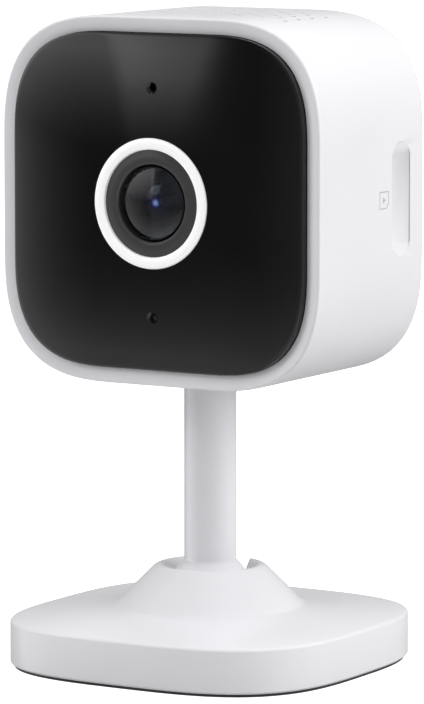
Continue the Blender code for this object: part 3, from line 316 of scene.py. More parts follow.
def makeMetalGroup():
    # fine lines drawn along one way, with duller patches
    group, entry, leave = newGroup(
        "drawnMetal",
        [
            ("Color", "NodeSocketColor", (0.6, 0.6, 0.6, 1)),
            ("Dull Color", "NodeSocketColor", (0.5, 0.5, 0.5, 1)),
            ("Roughness", "NodeSocketFloat", 0.3),
            ("Stretch", "NodeSocketVector", (1.0, 1.0, 20.0)),
        ],
        [("Color", "NodeSocketColor"), ("Roughness", "NodeSocketFloat"), ("Normal", "NodeSocketVector")],
    )
    place = addNode(group, "ShaderNodeTexCoord").outputs["Object"]
    drawn = addNode(
        group, "ShaderNodeVectorMath", [("operation", "MULTIPLY")],
        [(0, place), (1, entry.outputs["Stretch"])],
    )
    lines = noise(group, drawn.outputs[0], 900.0, 3.0)
    tone = addNode(
        group, "ShaderNodeMix", [("data_type", "RGBA")],
        [(0, noise(group, place, 150.0, 2.0)), (6, entry.outputs["Color"]), (7, entry.outputs["Dull Color"])],
    )
    rough = addNode(
        group, "ShaderNodeMath", [("operation", "MULTIPLY_ADD"), (1, 0.18), ("use_clamp", True)],
        [(0, lines), (2, entry.outputs["Roughness"])],
    )
    bump = addNode(
        group, "ShaderNodeBump", [("Strength", 0.5), ("Distance", 0.000006)], [("Height", lines)]
    )
    group.links.new(tone.outputs[2], leave.inputs["Color"])
    group.links.new(rough.outputs[0], leave.inputs["Roughness"])
    group.links.new(bump.outputs[0], leave.inputs["Normal"])
    return group


mouldedSkin = makeMouldedGroup()
drawnMetal = makeMetalGroup()


def startMaterial(name, shaderValues):
    made = bpy.data.materials.new(name)
    made.use_nodes = True
    shader = made.node_tree.nodes["Principled BSDF"]
    for key, value in shaderValues.items():
        shader.inputs[key].default_value = value
    return made, made.node_tree, shader


def spelled(values):
    return {key.replace("_", " "): value for key, value in values.items()}


def placeGroup(tree, shader, shared, values):
    group = tree.nodes.new("ShaderNodeGroup")
    group.node_tree = shared
    for key, value in values.items():
        group.inputs[key].default_value = value
    for output, target in (("Color", "Base Color"), ("Roughness", "Roughness"), ("Normal", "Normal")):
        tree.links.new(group.outputs[output], shader.inputs[target])


def moulded(name, color, cloud, roughness, haze=0.03, pebble=(2600.0, 0.000004), **shaderValues):
    made, tree, shader = startMaterial(name, spelled(shaderValues))
    placeGroup(tree, shader, mouldedSkin, {
        "Color": (*color, 1), "Cloud Color": (*cloud, 1), "Roughness": roughness, "Haze": haze,
        "Pebble Size": pebble[0], "Pebble Depth": pebble[1],
    })
    return made


def metal(name, color, dull, roughness, stretch=(1.0, 1.0, 20.0)):
    made, tree, shader = startMaterial(name, {"Metallic": 1.0})
    placeGroup(tree, shader, drawnMetal, {
        "Color": (*color, 1), "Dull Color": (*dull, 1), "Roughness": roughness, "Stretch": stretch,
    })
    return made


def circuitBoard(name):
    # copper tracks under green solder mask, with fine glass weave
    made, tree, shader = startMaterial(name, {"Coat Weight": 0.4, "Coat Roughness": 0.2})
    place = addNode(tree, "ShaderNodeTexCoord").outputs["Object"]
    turned = addNode(tree, "ShaderNodeMapping", [("Rotation", (math.pi / 2, 0, 0))], [("Vector", place)])
    tracks = addNode(
        tree, "ShaderNodeTexBrick",
        [
            ("Color1", (0.012, 0.10, 0.045, 1)), ("Color2", (0.016, 0.13, 0.06, 1)),
            ("Mortar", (0.03, 0.21, 0.09, 1)),
            ("Scale", 260.0), ("Mortar Size", 0.05), ("Mortar Smooth", 0.2), ("offset", 0.37),
        ],
        [("Vector", turned.outputs["Vector"])],
    )
    weave = noise(tree, place, 3000.0, 1.0)
    rough = addNode(
        tree, "ShaderNodeMapRange", [("To Min", 0.3), ("To Max", 0.5)], [("Value", weave)]
    )
    bump = addNode(
        tree, "ShaderNodeBump", [("Strength", 0.6), ("Distance", 0.00002)],
        [("Height", tracks.outputs["Fac"])],
    )
    tree.links.new(tracks.outputs["Color"], shader.inputs["Base Color"])
    tree.links.new(rough.outputs["Result"], shader.inputs["Roughness"])
    tree.links.new(bump.outputs["Normal"], shader.inputs["Normal"])
    return made


def coatedGlass(name, color, tint, roughness=0.02, **shaderValues):
    # optical glass whose coating shifts a little in hue over its face
    values = {"Transmission Weight": 1.0, "IOR": 1.52, **spelled(shaderValues)}
    made, tree, shader = startMaterial(name, values)
    place = addNode(tree, "ShaderNodeTexCoord").outputs["Object"]
    tone = addNode(
        tree, "ShaderNodeMix", [("data_type", "RGBA"), (6, (*color, 1)), (7, (*tint, 1))],
        [(0, noise(tree, place, 110.0, 1.0))],
    )
    rough = addNode(
        tree, "ShaderNodeMapRange",
        [("From Min", 0.5), ("From Max", 0.8), ("To Min", roughness), ("To Max", roughness + 0.05)],
        [("Value", noise(tree, place, 1500.0, 4.0))],
    )
    tree.links.new(tone.outputs[2], shader.inputs["Base Color"])
    tree.links.new(rough.outputs["Result"], shader.inputs["Roughness"])
    return made


whiteShell = moulded(
    "glossyWhiteShell", (0.715, 0.712, 0.73), (0.69, 0.687, 0.706), 0.3, 0.025, IOR=1.46, Coat_Weight=0.25,
    Coat_Roughness=0.08,
)
# white trim lifted by a faint white emission: a painted glow, since the ring is no lamp
glowPaintedTrim = moulded(
    "trimWithPaintedGlow", (0.93, 0.93, 0.93), (0.9, 0.9, 0.9), 0.35, 0.02, Emission_Color=(1, 1, 1, 1),
    Emission_Strength=0.12,
)
smokedFront = moulded(
    "smokedBlackFront", (0.006, 0.006, 0.0065), (0.008, 0.008, 0.0085), 0.035, 0.008,
    (900.0, 0.0000002), IOR=1.5,
)
bezelGrey = moulded(
    "satinBezel", (0.05, 0.05, 0.051), (0.056, 0.056, 0.057), 0.14, 0.02, (3000.0, 0.000001), IOR=1.5
)
barrelBlack = moulded("anodisedBarrel", (0.006, 0.006, 0.007), (0.009, 0.009, 0.01), 0.25, 0.05)
blackPlastic = moulded("blackPlastic", (0.018, 0.018, 0.02), (0.024, 0.024, 0.026), 0.45, 0.06)
blackRubber = moulded("footRubber", (0.035, 0.035, 0.037), (0.05, 0.05, 0.052), 0.8, 0.08, (1800.0, 0.00003))
cableSkin = moulded("cableSkin", (0.02, 0.02, 0.02), (0.03, 0.03, 0.03), 0.55, 0.08, (4000.0, 0.00001))
linerPlastic = moulded("slipperyLiner", (0.72, 0.71, 0.66), (0.62, 0.61, 0.57), 0.5, 0.05)
emitterEpoxy = moulded("emitterEpoxy", (0.05, 0.035, 0.06), (0.07, 0.05, 0.08), 0.15, 0.03, Coat_Weight=0.6)
clearResin = moulded("clearResin", (0.7, 0.7, 0.66), (0.6, 0.6, 0.58), 0.15, 0.03)
padSilicone = moulded("padSilicone", (0.36, 0.42, 0.55), (0.44, 0.5, 0.6), 0.9, 0.05, (5000.0, 0.00002))
speakerPaper = moulded("conePaper", (0.03, 0.03, 0.032), (0.06, 0.06, 0.06), 0.85, 0.1, (3500.0, 0.00003))
amberFlex = moulded("amberFlex", (0.42, 0.2, 0.04), (0.5, 0.27, 0.07), 0.35, 0.06)
printGrey = moulded("printGrey", (0.36, 0.36, 0.37), (0.42, 0.42, 0.43), 0.6, 0.05)
platedSteel = metal("platedSteel", (0.62, 0.61, 0.6), (0.5, 0.5, 0.5), 0.2)
weightSteel = metal("weightSteel", (0.5, 0.5, 0.51), (0.38, 0.38, 0.39), 0.32, (12.0, 1.0, 1.0))
sinkAluminium = metal("sinkAluminium", (0.75, 0.75, 0.77), (0.66, 0.66, 0.68), 0.28)
greenBoard = circuitBoard("greenBoard")
frontGlass = coatedGlass("frontGlass", (0.34, 0.36, 0.4), (0.28, 0.3, 0.36), 0.02, Specular_IOR_Level=0.14)
innerGlass = coatedGlass("innerGlass", (0.12, 0.15, 0.45), (0.2, 0.12, 0.4), 0.03, Specular_IOR_Level=0.9)
redGlass = coatedGlass("cutFilterGlass", (0.5, 0.1, 0.2), (0.35, 0.08, 0.3), 0.03)
clearGlass = coatedGlass("clearFilterGlass", (0.85, 0.9, 0.9), (0.9, 0.92, 0.88), 0.03)
sensorGlass = moulded("sensorGlass", (0.03, 0.05, 0.07), (0.06, 0.04, 0.08), 0.06, 0.02, Coat_Weight=1.0)

# Head

headLow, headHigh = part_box("housing")
headMiddle = Vector((0, 0, (headLow.z + headHigh.z) / 2))
headSize = (headHigh.x - headLow.x, headHigh.z - headLow.z)
ringFront, headBack = headLow.y, headHigh.y
trimLow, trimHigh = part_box("lens_trim_ring")
stemLow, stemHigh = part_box("stem_pole")
stemRadius = stemHigh.x
domeFront = trimLow.y - 0.00005

headShape = {
    "corner": 0.0206,
    "power": 2.8,
    "segments": 22,
    "wall": 0.0018,
    "rearRound": 0.0021,
}
frontRing = {
    "width": 0.0025,
    "rise": 0.0006,
    "overrun": 0.0003,
    "edgeRound": 0.00045,
    "ledge": 0.0021,
    "seatDepth": 0.0018,
    "ledgeThick": 0.0012,
}
rearCover = {
    "inset": 0.0033,
    "thick": 0.0018,
    "sunk": 0.0001,
    "fit": 0.00006,
    "ventCount": 5,
    "ventPitch": 0.004,
    "ventSize": (0.0012, 0.008),
    "ventUp": 0.010,
    "screwInset": 0.0095,
    "through": 0.006,
    "buttonFit": 0.0001,
}
knobFlange = 0.0008
coverInside = headBack - rearCover["thick"] - rearCover["sunk"]
ledgeBack = ringFront + frontRing["seatDepth"] + frontRing["ledgeThick"]


def headOutline(name, inset, low, high):
    size = [side - 2 * inset for side in headSize]
    centre = headMiddle + Vector((0, low, 0))
    corner = headShape["corner"] - 1.2 * inset
    return roundedBlock(
        name, size, corner, headShape["power"], headShape["segments"], centre, "front", high - low
    )


def makeHeadShell():
    flatFront = ringFront + frontRing["rise"]
    shell = roundedFace(
        "headShell", headSize, headShape["corner"], headShape["power"], headShape["segments"],
        headMiddle + Vector((0, flatFront, 0)), "front",
    )
    extrude((0, headBack - flatFront, 0))
    pickFaces(shell, lambda spot, normal: spot.y > headBack - 1e-5)
    bpy.ops.mesh.bevel(offset=headShape["rearRound"], segments=8, affect="EDGES", clamp_overlap=False)
    pickFaces(shell, lambda spot, normal: spot.y < flatFront + 1e-5)
    overrun = 1 + frontRing["overrun"] / frontRing["width"]
    bpy.ops.mesh.inset(thickness=frontRing["width"] * overrun, depth=frontRing["rise"] * overrun)
    pickEdges(shell, lambda spot: abs(spot.y - flatFront) < 1e-5)
    bpy.ops.mesh.bevel(offset=frontRing["edgeRound"], segments=4, affect="EDGES", clamp_overlap=False)
    leaveEdit(shell)
    seat, ledge = frontRing["width"] - 0.00005, frontRing["width"] + frontRing["ledge"]
    seatBack = ringFront + frontRing["seatDepth"]
    carve(
        shell,
        headOutline("panelSeat", seat, ringFront - 0.002, seatBack),
        headOutline("ledgeHole", ledge, seatBack - 0.001, ledgeBack + 0.001),
        headOutline("hollow", headShape["wall"], ledgeBack, coverInside - 0.0004),
        headOutline("rearOpening", rearCover["inset"] - rearCover["fit"], 0, headBack + 0.001),
    )
    return shell


coverBoss = {"radius": 0.003, "into": 0.0005, "gap": 0.0003, "ribWide": 0.006, "ribThin": 0.0014}


def coverScrewPlace(side):
    inset = rearCover["screwInset"]
    return side * (headSize[0] / 2 - inset), headMiddle.z - headSize[1] / 2 + inset


def addHeadInside(shell):
    # the boss round the stem, and a boss with a rib for each cover screw
    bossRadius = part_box("swivel_washer")[1].x + 0.0008
    low, high = headLow.z + 0.0005, stemHigh.z - 0.0001
    carve(shell, pin("stemBoss", bossRadius, high - low, (0, 0, (high + low) / 2)), operation="UNION")
    length = coverInside - coverBoss["gap"] - ledgeBack + coverBoss["into"]
    for side in (-1, 1):
        x, z = coverScrewPlace(side)
        post = pin(
            "coverPost", coverBoss["radius"], length,
            (x, ledgeBack - coverBoss["into"] + length / 2, z), (math.pi / 2, 0, 0), 32,
        )
        rib = bar(
            "coverRib", (coverBoss["ribWide"], length - 0.004, coverBoss["ribThin"]),
            (x + side * 0.0025, ledgeBack + length / 2 - 0.002, z - 0.0025),
            (0, side * math.radians(45), 0),
        )
        carve(shell, post, rib, operation="UNION")
        carve(shell, pin("pilot", 0.0011, 0.014, (x, coverInside, z), (math.pi / 2, 0, 0), 24))
    fit = 0.00012
    hole = [
        (stemRadius + 0.0006, -0.001),
        (stemRadius + 0.0006, -0.00002),
        (stemRadius + fit, 0.00045),
        (stemRadius + fit, 0.002),
        (stemRadius + 0.0014, 0.002),
        (stemRadius + 0.0014, 0.006),
    ]
    carve(shell, ringProfile("stemHole", hole, (0, 0, headLow.z), "up", 64, True))


cardSlot = {
    "y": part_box("card_socket")[1].y - 0.00085,
    "width": 0.0009,
    "length": 0.0141,
    "recessWidth": 0.0059,
    "recessLength": 0.0182,
    "deep": 0.0017,
    "shallow": 0.0002,
}


def cutCardSlot(shell):
    # a scoop: deepest at the slot along its front edge, and rising at its two ends
    side = headSize[0] / 2
    width, half = cardSlot["recessWidth"], cardSlot["length"] / 2
    recessY = cardSlot["y"] - cardSlot["width"] / 2 - 0.0001 + width / 2
    recess = pill(
        "recess", (width, cardSlot["recessLength"]), (side + 0.001, recessY, headMiddle.z), "side", 0.001, 14
    )
    floor = bar("recessFloor", (0.0002, width, 2 * half), (side - 0.0001, recessY, headMiddle.z))
    editThis(floor)
    work = bmesh.from_edit_mesh(floor.data)
    for deepEdge in (True, False):
        bpy.ops.mesh.select_all(action="DESELECT")
        for corner in work.verts:
            corner.select_set(corner.co.x < side - 0.00015 and (corner.co.y < recessY) == deepEdge)
        bmesh.update_edit_mesh(floor.data)
        depth = cardSlot["deep"] if deepEdge else cardSlot["shallow"]
        bpy.ops.transform.translate(value=(0.0002 - depth, 0, 0))
    leaveEdit(floor)
    joinAll([recess, floor])
    editThis(recess)
    bpy.ops.mesh.convex_hull()
    leaveEdit(recess)
    slot = bar(
        "slot", (8 * headShape["wall"], cardSlot["width"], cardSlot["length"]),
        (side, cardSlot["y"], headMiddle.z),
    )
    carve(shell, recess, slot)


topHoles = {
    "radius": 0.00042,
    "columns": 17,
    "rows": 4,
    "pitchX": 0.0021,
    "pitchY": 0.0042,
    "middleY": 0.001,
}


def cutTopHoles(shell):
    pins = []
    for column in range(topHoles["columns"]):
        odd = column % 2
        for row in range(topHoles["rows"] - odd):
            x = (column - (topHoles["columns"] - 1) / 2) * topHoles["pitchX"]
            y = topHoles["middleY"] + (row - (topHoles["rows"] - 1) / 2 + odd / 2) * topHoles["pitchY"]
            pins.append(pin("topHole", topHoles["radius"], 0.006, (x, y, headHigh.z - 0.001), sides=14))
    carve(shell, joinAll(pins))


print("head shell")
headShell = makeHeadShell()
addHeadInside(headShell)
cutCardSlot(headShell)
cutTopHoles(headShell)
finishPiece(headShell, whiteShell, "head", "white_shell", "housing")


def makeCoverPlate():
    plate = headOutline(
        "rearCoverPlate", rearCover["inset"] + rearCover["fit"], coverInside, headBack - rearCover["sunk"]
    )
    editThis(plate, "FACE")
    pickFaces(plate, lambda spot, normal: spot.y > headBack - rearCover["sunk"] - 1e-5)
    bpy.ops.mesh.bevel(offset=0.00035, segments=3, affect="EDGES", clamp_overlap=False)
    leaveEdit(plate)
    usb = middle("usb_socket")
    usbLow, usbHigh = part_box("usb_socket")
    inlet = (usbHigh.x - usbLow.x + 0.0006, usbHigh.z - usbLow.z + 0.0006)
    carve(plate, pill("inletHole", inlet, (usb.x, headBack - 0.004, usb.z), "front", rearCover["through"]))
    dish = roundedBlock(
        "inletDish", (inlet[0] + 0.0024, inlet[1] + 0.0024), inlet[1] / 2 + 0.0011, 2.0, 12,
        (usb.x, headBack - 0.0006, usb.z), "front", 0.002,
    )
    editThis(dish, "FACE")
    pickFaces(dish, lambda spot, normal: normal.y < -0.9)
    bpy.ops.mesh.bevel(offset=0.0004, segments=4, affect="EDGES", clamp_overlap=False)
    leaveEdit(dish)
    button = middle("reset_button")
    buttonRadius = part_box("reset_button")[1].x - button.x + rearCover["buttonFit"] - knobFlange
    buttonHole = pin(
        "buttonHole", buttonRadius, rearCover["through"], (button.x, headBack, button.z), (math.pi / 2, 0, 0)
    )
    carve(plate, dish, buttonHole)
    sink = [
        (0.0021, -0.001),
        (0.0021, -0.00005),
        (0.00178, 0.0002),
        (0.00178, 0.0012),
        (0.001, 0.0012),
        (0.001, 0.004),
    ]
    for side in (-1, 1):
        x, z = coverScrewPlace(side)
        carve(plate, ringProfile("screwSink", sink, (x, headBack, z), "front", 40, True))
    for number in range(rearCover["ventCount"]):
        x = (number - (rearCover["ventCount"] - 1) / 2) * rearCover["ventPitch"]
        centre = (x, headBack - 0.004, headMiddle.z + rearCover["ventUp"])
        carve(plate, pill("vent", rearCover["ventSize"], centre, "front", rearCover["through"], 6))
    return plate


print("rear cover")
finishPiece(makeCoverPlate(), whiteShell, "head", "white_shell", "rear_cover")

screwShape = {"radius": 0.0016, "height": 0.001, "shank": 0.0008, "cross": (0.0019, 0.00038)}


def makeScrew(name, under, facing, length):
    # a pan head with a cross recess; under is the place under its head
    radius, height = screwShape["radius"], screwShape["height"]
    profile = [
        (screwShape["shank"] * 0.5, -length),
        (screwShape["shank"], -length + 0.0004),
        (screwShape["shank"], 0),
        (radius, 0),
        (radius, height * 0.5),
        (radius * 0.92, height * 0.78),
        (radius * 0.72, height * 0.95),
        (radius * 0.45, height),
    ]
    made = ringProfile(name, profile, under, facing, 40, True)
    along, turn = facings[facing]
    top = Vector(under) + along * height
    wide, thin = screwShape["cross"]
    for size in ((wide, thin, height), (thin, wide, height)):
        carve(made, bar("cross", size, top, turn))
    return made


for number in range(2):
    node = f"cover_screw_{number + 1}"
    place = middle(node)
    under = (place.x, headBack - 0.0011, place.z)
    screw = makeScrew(f"coverScrew{number + 1}", under, "back", 0.006)
    finishPiece(screw, platedSteel, "head", "plated_steel", node)


def makeResetKnob():
    low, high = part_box("reset_button")
    place = middle("reset_button")
    flange = (high.x - low.x) / 2
    radius = flange - knobFlange
    length = high.y - low.y
    profile = [
        (radius, -length),
        (radius, -length + 0.0002),
        (radius, -0.0028),
        (flange, -0.0028),
        (flange, -0.0022),
        (radius, -0.0022),
        (radius, -0.0002),
        (radius - 0.0001, -0.00006),
        (radius - 0.0003, 0),
        (radius - 0.00055, -0.00008),
        (radius * 0.25, -0.00014),
    ]
    return ringProfile("resetKnob", profile, (place.x, high.y, place.z), "back", 40, True)


finishPiece(makeResetKnob(), whiteShell, "reset_button", "white_shell", "reset_button")


def makeInlet():
    low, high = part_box("usb_socket")
    place = middle("usb_socket")
    size = (high.x - low.x, high.z - low.z)
    wall = 0.0004
    tube = pill("powerInlet", size, (place.x, low.y, place.z), "front", high.y - low.y)
    hollow = pill(
        "inletHollow", (size[0] - 2 * wall, size[1] - 2 * wall), (place.x, low.y + 0.003, place.z),
        "front", high.y - low.y,
    )
    carve(tube, hollow)
    return roundEdges(tube, 0.00008, 2, 60)


finishPiece(makeInlet(), platedSteel, "head", "plated_steel", "usb_socket")

# Front panel: concentric copies of the ring's outline, each set forward along the dome

dome = {
    "rise": ringFront - domeFront,
    "power": 4,
    "loops": 44,
    "innermost": 0.06,
    "thick": 0.0015,
    "fit": 0.00005,
    "edgeDrop": 0.0001,
}
ports = {"radius": 0.0006, "chamfer": 0.00035, "offset": 0.0181}


def domeSetOut(share):
    return dome["rise"] * (1 - share ** dome["power"])


def panelLoops():
    # (share of the outline, depth in front of the ring's front)
    step = (1 - dome["innermost"]) / dome["loops"]
    shares = [dome["innermost"] + step * number for number in range(dome["loops"] + 1)]
    loops = [(share, domeSetOut(share) - dome["thick"]) for share in shares]
    edge = dome["edgeDrop"]
    loops += [(1, -edge), (0.9985, -edge * 0.5), (0.996, -edge * 0.12), (0.992, domeSetOut(0.992))]
    return loops + [(share, domeSetOut(share)) for share in reversed(shares[:-1])]


def makeFrontPanel():
    inset = frontRing["width"] + dome["fit"]
    size = [side - 2 * inset for side in headSize]
    panel = roundedFace(
        "frontPanel", size, headShape["corner"] - 1.2 * inset, headShape["power"], headShape["segments"],
        headMiddle + Vector((0, ringFront, 0)), "front",
    )
    share, setOut = 1.0, 0.0
    for number, (newShare, newSetOut) in enumerate(panelLoops()):
        if number:
            extrude((0, setOut - newSetOut, 0))
        else:
            bpy.ops.transform.translate(value=(0, -newSetOut, 0))
        scale = newShare / share
        bpy.ops.transform.resize(
            value=(scale, 1, scale), center_override=headMiddle + Vector((0, ringFront - newSetOut, 0))
        )
        share, setOut = newShare, newSetOut
    leaveEdit(panel)
    carve(panel, pin("trimHole", trimOuter + 0.00004, 0.008, lensAxis, (math.pi / 2, 0, 0), 96))
    for side in (-1, 1):
        share = ports["offset"] / (headSize[1] / 2 - inset)
        surface = headMiddle + Vector((0, ringFront - domeSetOut(share), side * ports["offset"]))
        hole = [
            (ports["radius"] + ports["chamfer"] * 2, ports["chamfer"]),
            (ports["radius"], -ports["chamfer"]),
            (ports["radius"], -0.004),
        ]
        carve(panel, ringProfile("port", hole, surface, "front", 32, True))
    return panel


bezelInner = 0.0061
trimInner = bezelInner + 0.00235
trimOuter = trimInner + 0.00181
trimFlange = trimHigh.x
trimBack = trimHigh.y - domeFront
lensAxis = headMiddle + Vector((0, domeFront, 0))

print("front panel and lens")
finishPiece(makeFrontPanel(), smokedFront, "head", "black_acrylic", "front_panel")

trimRing = [
    (trimInner, -trimBack),
    (trimInner, -0.0001),
    (trimInner + 0.00006, 0.00008),
    (trimInner + 0.0002, 0.00016),
    (trimOuter - 0.0002, 0.00016),
    (trimOuter - 0.00006, 0.00008),
    (trimOuter, -0.0001),
    (trimOuter, -0.0018),
    (trimFlange, -0.0018),
    (trimFlange, -trimBack),
    (trimInner, -trimBack),
]
trimPiece = ringProfile("lensTrim", trimRing, lensAxis, "front", 128)
finishPiece(trimPiece, glowPaintedTrim, "head", "white_trim", "lens_trim_ring")

bezel = [
    (bezelInner, -trimBack),
    (bezelInner, -0.0005),
    (bezelInner + 0.00006, -0.00028),
    (bezelInner + 0.0002, -0.00014),
    (bezelInner + 0.0004, -0.0001),
    (trimInner - 0.0009, -0.0002),
    (trimInner - 0.00006, -0.0003),
    (trimInner - 0.00006, -trimBack),
    (bezelInner, -trimBack),
]
bezelPiece = ringProfile("lensBezel", bezel, lensAxis, "front", 128)
finishPiece(bezelPiece, bezelGrey, "head", "grey_ring", "lens_bezel")

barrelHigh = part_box("lens_barrel")[1]
barrelRadius = barrelHigh.x
barrelBack = barrelHigh.y - domeFront
barrel = {
    "front": -0.00055,
    "steps": 6,
    "wall": 0.00022,
    "well": 0.0047,
    "wellDepth": -0.0018,
    "throat": 0.0026,
    "throatDepth": -0.0030,
}
glassRadius = barrelRadius - barrel["wall"]


def barrelProfile():
    # a thin black rim round the glass, then steps that narrow to the inner glass
    bore = barrel["throat"] - 0.0002
    profile = [
        (bore, -barrelBack),
        (barrelRadius, -barrelBack),
        (barrelRadius, barrel["front"] - 0.0001),
        (barrelRadius - 0.00006, barrel["front"]),
        (glassRadius + 0.00006, barrel["front"]),
        (glassRadius + 0.00003, barrel["front"] - 0.0011),
    ]
    for number in range(barrel["steps"]):
        share = (number + 1) / barrel["steps"]
        radius = barrel["well"] + (barrel["throat"] - barrel["well"]) * share
        depth = barrel["wellDepth"] + (barrel["throatDepth"] - barrel["wellDepth"]) * share
        profile.append((radius, depth + 0.0002))
        profile.append((radius, depth))
    return profile + [(bore, barrel["throatDepth"]), (bore, -barrelBack)]


barrelPiece = ringProfile("lensBarrel", barrelProfile(), lensAxis, "front", 96)
finishPiece(barrelPiece, barrelBlack, "head", "lens_black", "lens_barrel")


def lensElement(name, radius, edge, thick, bow, loops=14, sides=96):
    # a glass with a flat back and a front bowed by an angle
    sphere = radius / math.sin(bow)
    arc = [bow * (1 - number / loops) for number in range(loops + 1)]
    profile = [(radius, edge - thick)]
    for turn in arc[:-1]:
        profile.append((sphere * math.sin(turn), edge + sphere * (math.cos(turn) - math.cos(bow))))
    profile.append((sphere * math.sin(arc[-2]) * 0.05, edge + sphere * (1 - math.cos(bow))))
    return ringProfile(name, profile, lensAxis, "front", sides, True)


frontLens = lensElement("frontGlass", glassRadius, -0.0010, 0.0004, math.radians(14))
finishPiece(frontLens, frontGlass, "head", "coated_glass", "front_lens")


def paintedGlintGlass(name):
    # dark coated glass with a painted glint: a pale blue-white emission spot at the axis stands in for a
    # reflection deep in the lens
    made, tree, shader = startMaterial(
        name, {"Roughness": 0.03, "Coat Weight": 1.0, "Coat Roughness": 0.02, "Emission Strength": 1.0}
    )
    place = addNode(tree, "ShaderNodeTexCoord").outputs["Object"]
    centred = addNode(
        tree, "ShaderNodeMapping", [("Location", tuple(-part for part in lensAxis))], [("Vector", place)]
    )
    flat = addNode(
        tree, "ShaderNodeVectorMath", [("operation", "MULTIPLY"), (1, (1.0, 0.0, 1.0))],
        [(0, centred.outputs["Vector"])],
    )
    reach = addNode(tree, "ShaderNodeVectorMath", [("operation", "LENGTH")], [(0, flat.outputs[0])])
    ripple = noise(tree, place, 900.0, 2.0)
    bent = addNode(
        tree, "ShaderNodeMath", [("operation", "MULTIPLY_ADD"), (1, 0.0003)],
        [(0, ripple), (2, reach.outputs["Value"])],
    )
    share = addNode(
        tree, "ShaderNodeMapRange", [("From Min", 0.00015), ("From Max", 0.0020)],
        [("Value", bent.outputs[0])],
    )
    ramp = addNode(tree, "ShaderNodeValToRGB", [], [("Fac", share.outputs["Result"])])
    # painted glint colours, fed to the emission: blue-white at the axis, through blue, to black
    glintStops = [
        (0.0, (0.75, 0.85, 1.0, 1)), (0.16, (0.35, 0.5, 0.9, 1)), (0.3, (0.03, 0.06, 0.28, 1)),
        (0.45, (0.004, 0.006, 0.03, 1)), (1.0, (0.0, 0.0, 0.0, 1)),
    ]
    while len(ramp.color_ramp.elements) < len(glintStops):
        ramp.color_ramp.elements.new(1.0)
    for element, (spot, color) in zip(ramp.color_ramp.elements, glintStops):
        element.position, element.color = spot, color
    tone = addNode(
        tree, "ShaderNodeMix",
        [("data_type", "RGBA"), (6, (0.004, 0.005, 0.02, 1)), (7, (0.012, 0.006, 0.03, 1))],
        [(0, ripple)],
    )
    tree.links.new(tone.outputs[2], shader.inputs["Base Color"])
    tree.links.new(ramp.outputs["Color"], shader.inputs["Emission Color"])
    return made


middleLens = lensElement("middleGlass", barrel["throat"], -0.0026, 0.0008, math.radians(32))
finishPiece(middleLens, paintedGlintGlass("paintedGlintGlass"), "head", "coated_glass", "middle_lens")

# Stem and ball

ballLow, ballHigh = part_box("stem_ball")
ballRadius = (ballHigh.x - ballLow.x) / 2
ballCentre = Vector((0, 0, ballLow.z + ballRadius))
neckHeight = ballHigh.z - ballCentre.z
socketRadius = {"peg": 0.0025, "hole": 0.0026}


def makePole():
    foot = ballHigh.z + 0.00003
    profile = [
        (socketRadius["peg"], stemLow.z),
        (socketRadius["peg"], foot),
        (stemRadius + 0.00018, foot),
        (stemRadius + 0.00008, foot + 0.0001),
        (stemRadius + 0.00002, foot + 0.00025),
        (stemRadius, foot + 0.0005),
        (stemRadius, stemHigh.z - 0.0003),
        (stemRadius - 0.0003, stemHigh.z),
    ]
    pole = ringProfile("stemPole", profile, (0, 0, 0), "up", 96, True)
    carve(pole, pin("screwBore", 0.0012, 0.018, (0, 0, stemHigh.z), sides=32))
    return pole


def makeBall():
    bpy.ops.object.select_all(action="DESELECT")
    bpy.ops.mesh.primitive_uv_sphere_add(
        segments=96, ring_count=64, radius=ballRadius, location=ballCentre
    )
    ball = settle("stemBall")
    editThis(ball)
    bpy.ops.mesh.bisect(
        plane_co=ballCentre + Vector((0, 0, neckHeight)), plane_no=(0, 0, 1), clear_outer=True, use_fill=True
    )
    pickFaces(ball, lambda spot, normal: spot.z > ballCentre.z + neckHeight - 1e-5 and normal.z > 0.9)
    rim = math.sqrt(ballRadius**2 - neckHeight**2)
    bpy.ops.mesh.inset(thickness=rim - socketRadius["hole"])
    extrude((0, 0, stemLow.z - 0.0003 - ballCentre.z - neckHeight))
    return leaveEdit(ball)


print("stem and ball")
finishPiece(makePole(), whiteShell, "stem", "white_shell", "stem_pole")
finishPiece(makeBall(), whiteShell, "stem", "white_shell", "stem_ball")

# Base: a square that turns round as it climbs to the collar, then dips to the ball's seat

padLow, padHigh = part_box("foot_pad")
baseShape = {
    "reach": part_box("base_shell")[1].x,
    "power": 3.2,
    "segments": 28,
    "edgeHeight": 0.0076,
    "edgeRound": 0.0005,
    "roundingSteps": 8,
    "footReach": 0.0154,
    "footHeight": 0.00935,
    "wall": 0.0018,
    "hollowTop": 0.0058,
    "filletCorner": (0.01478, 0.00945),
    "filletEnd": (0.0130, 0.0114),
    "rimSlope": (0.0093, 0.01515),
    "rimCorner": (0.00875, 0.0157),
    "rim": (0.00805, 0.0157),
    "lipCorner": (0.0076, 0.0157),
    "lip": (0.0072, 0.01533),
    "seatCorner": (0.0066, 0.01485),
    "seatTurn": 65,
    "seatFit": 0.00012,
    "throatWall": 0.0011,
}
baseBoss = {
    "radius": 0.0026,
    "length": 0.0036,
    "up": 0.0046,
    "pilot": 0.0011,
    "pilotLength": 0.0068,
    "pilotUp": 0.003,
}


def bezier(start, corner, end, count):
    # points after the start, up to the end, on a curve that leans to the corner
    for number in range(1, count + 1):
        t = number / count
        yield tuple(
            (1 - t) ** 2 * a + 2 * t * (1 - t) * b + t * t * c for a, b, c in zip(start, corner, end)
        )


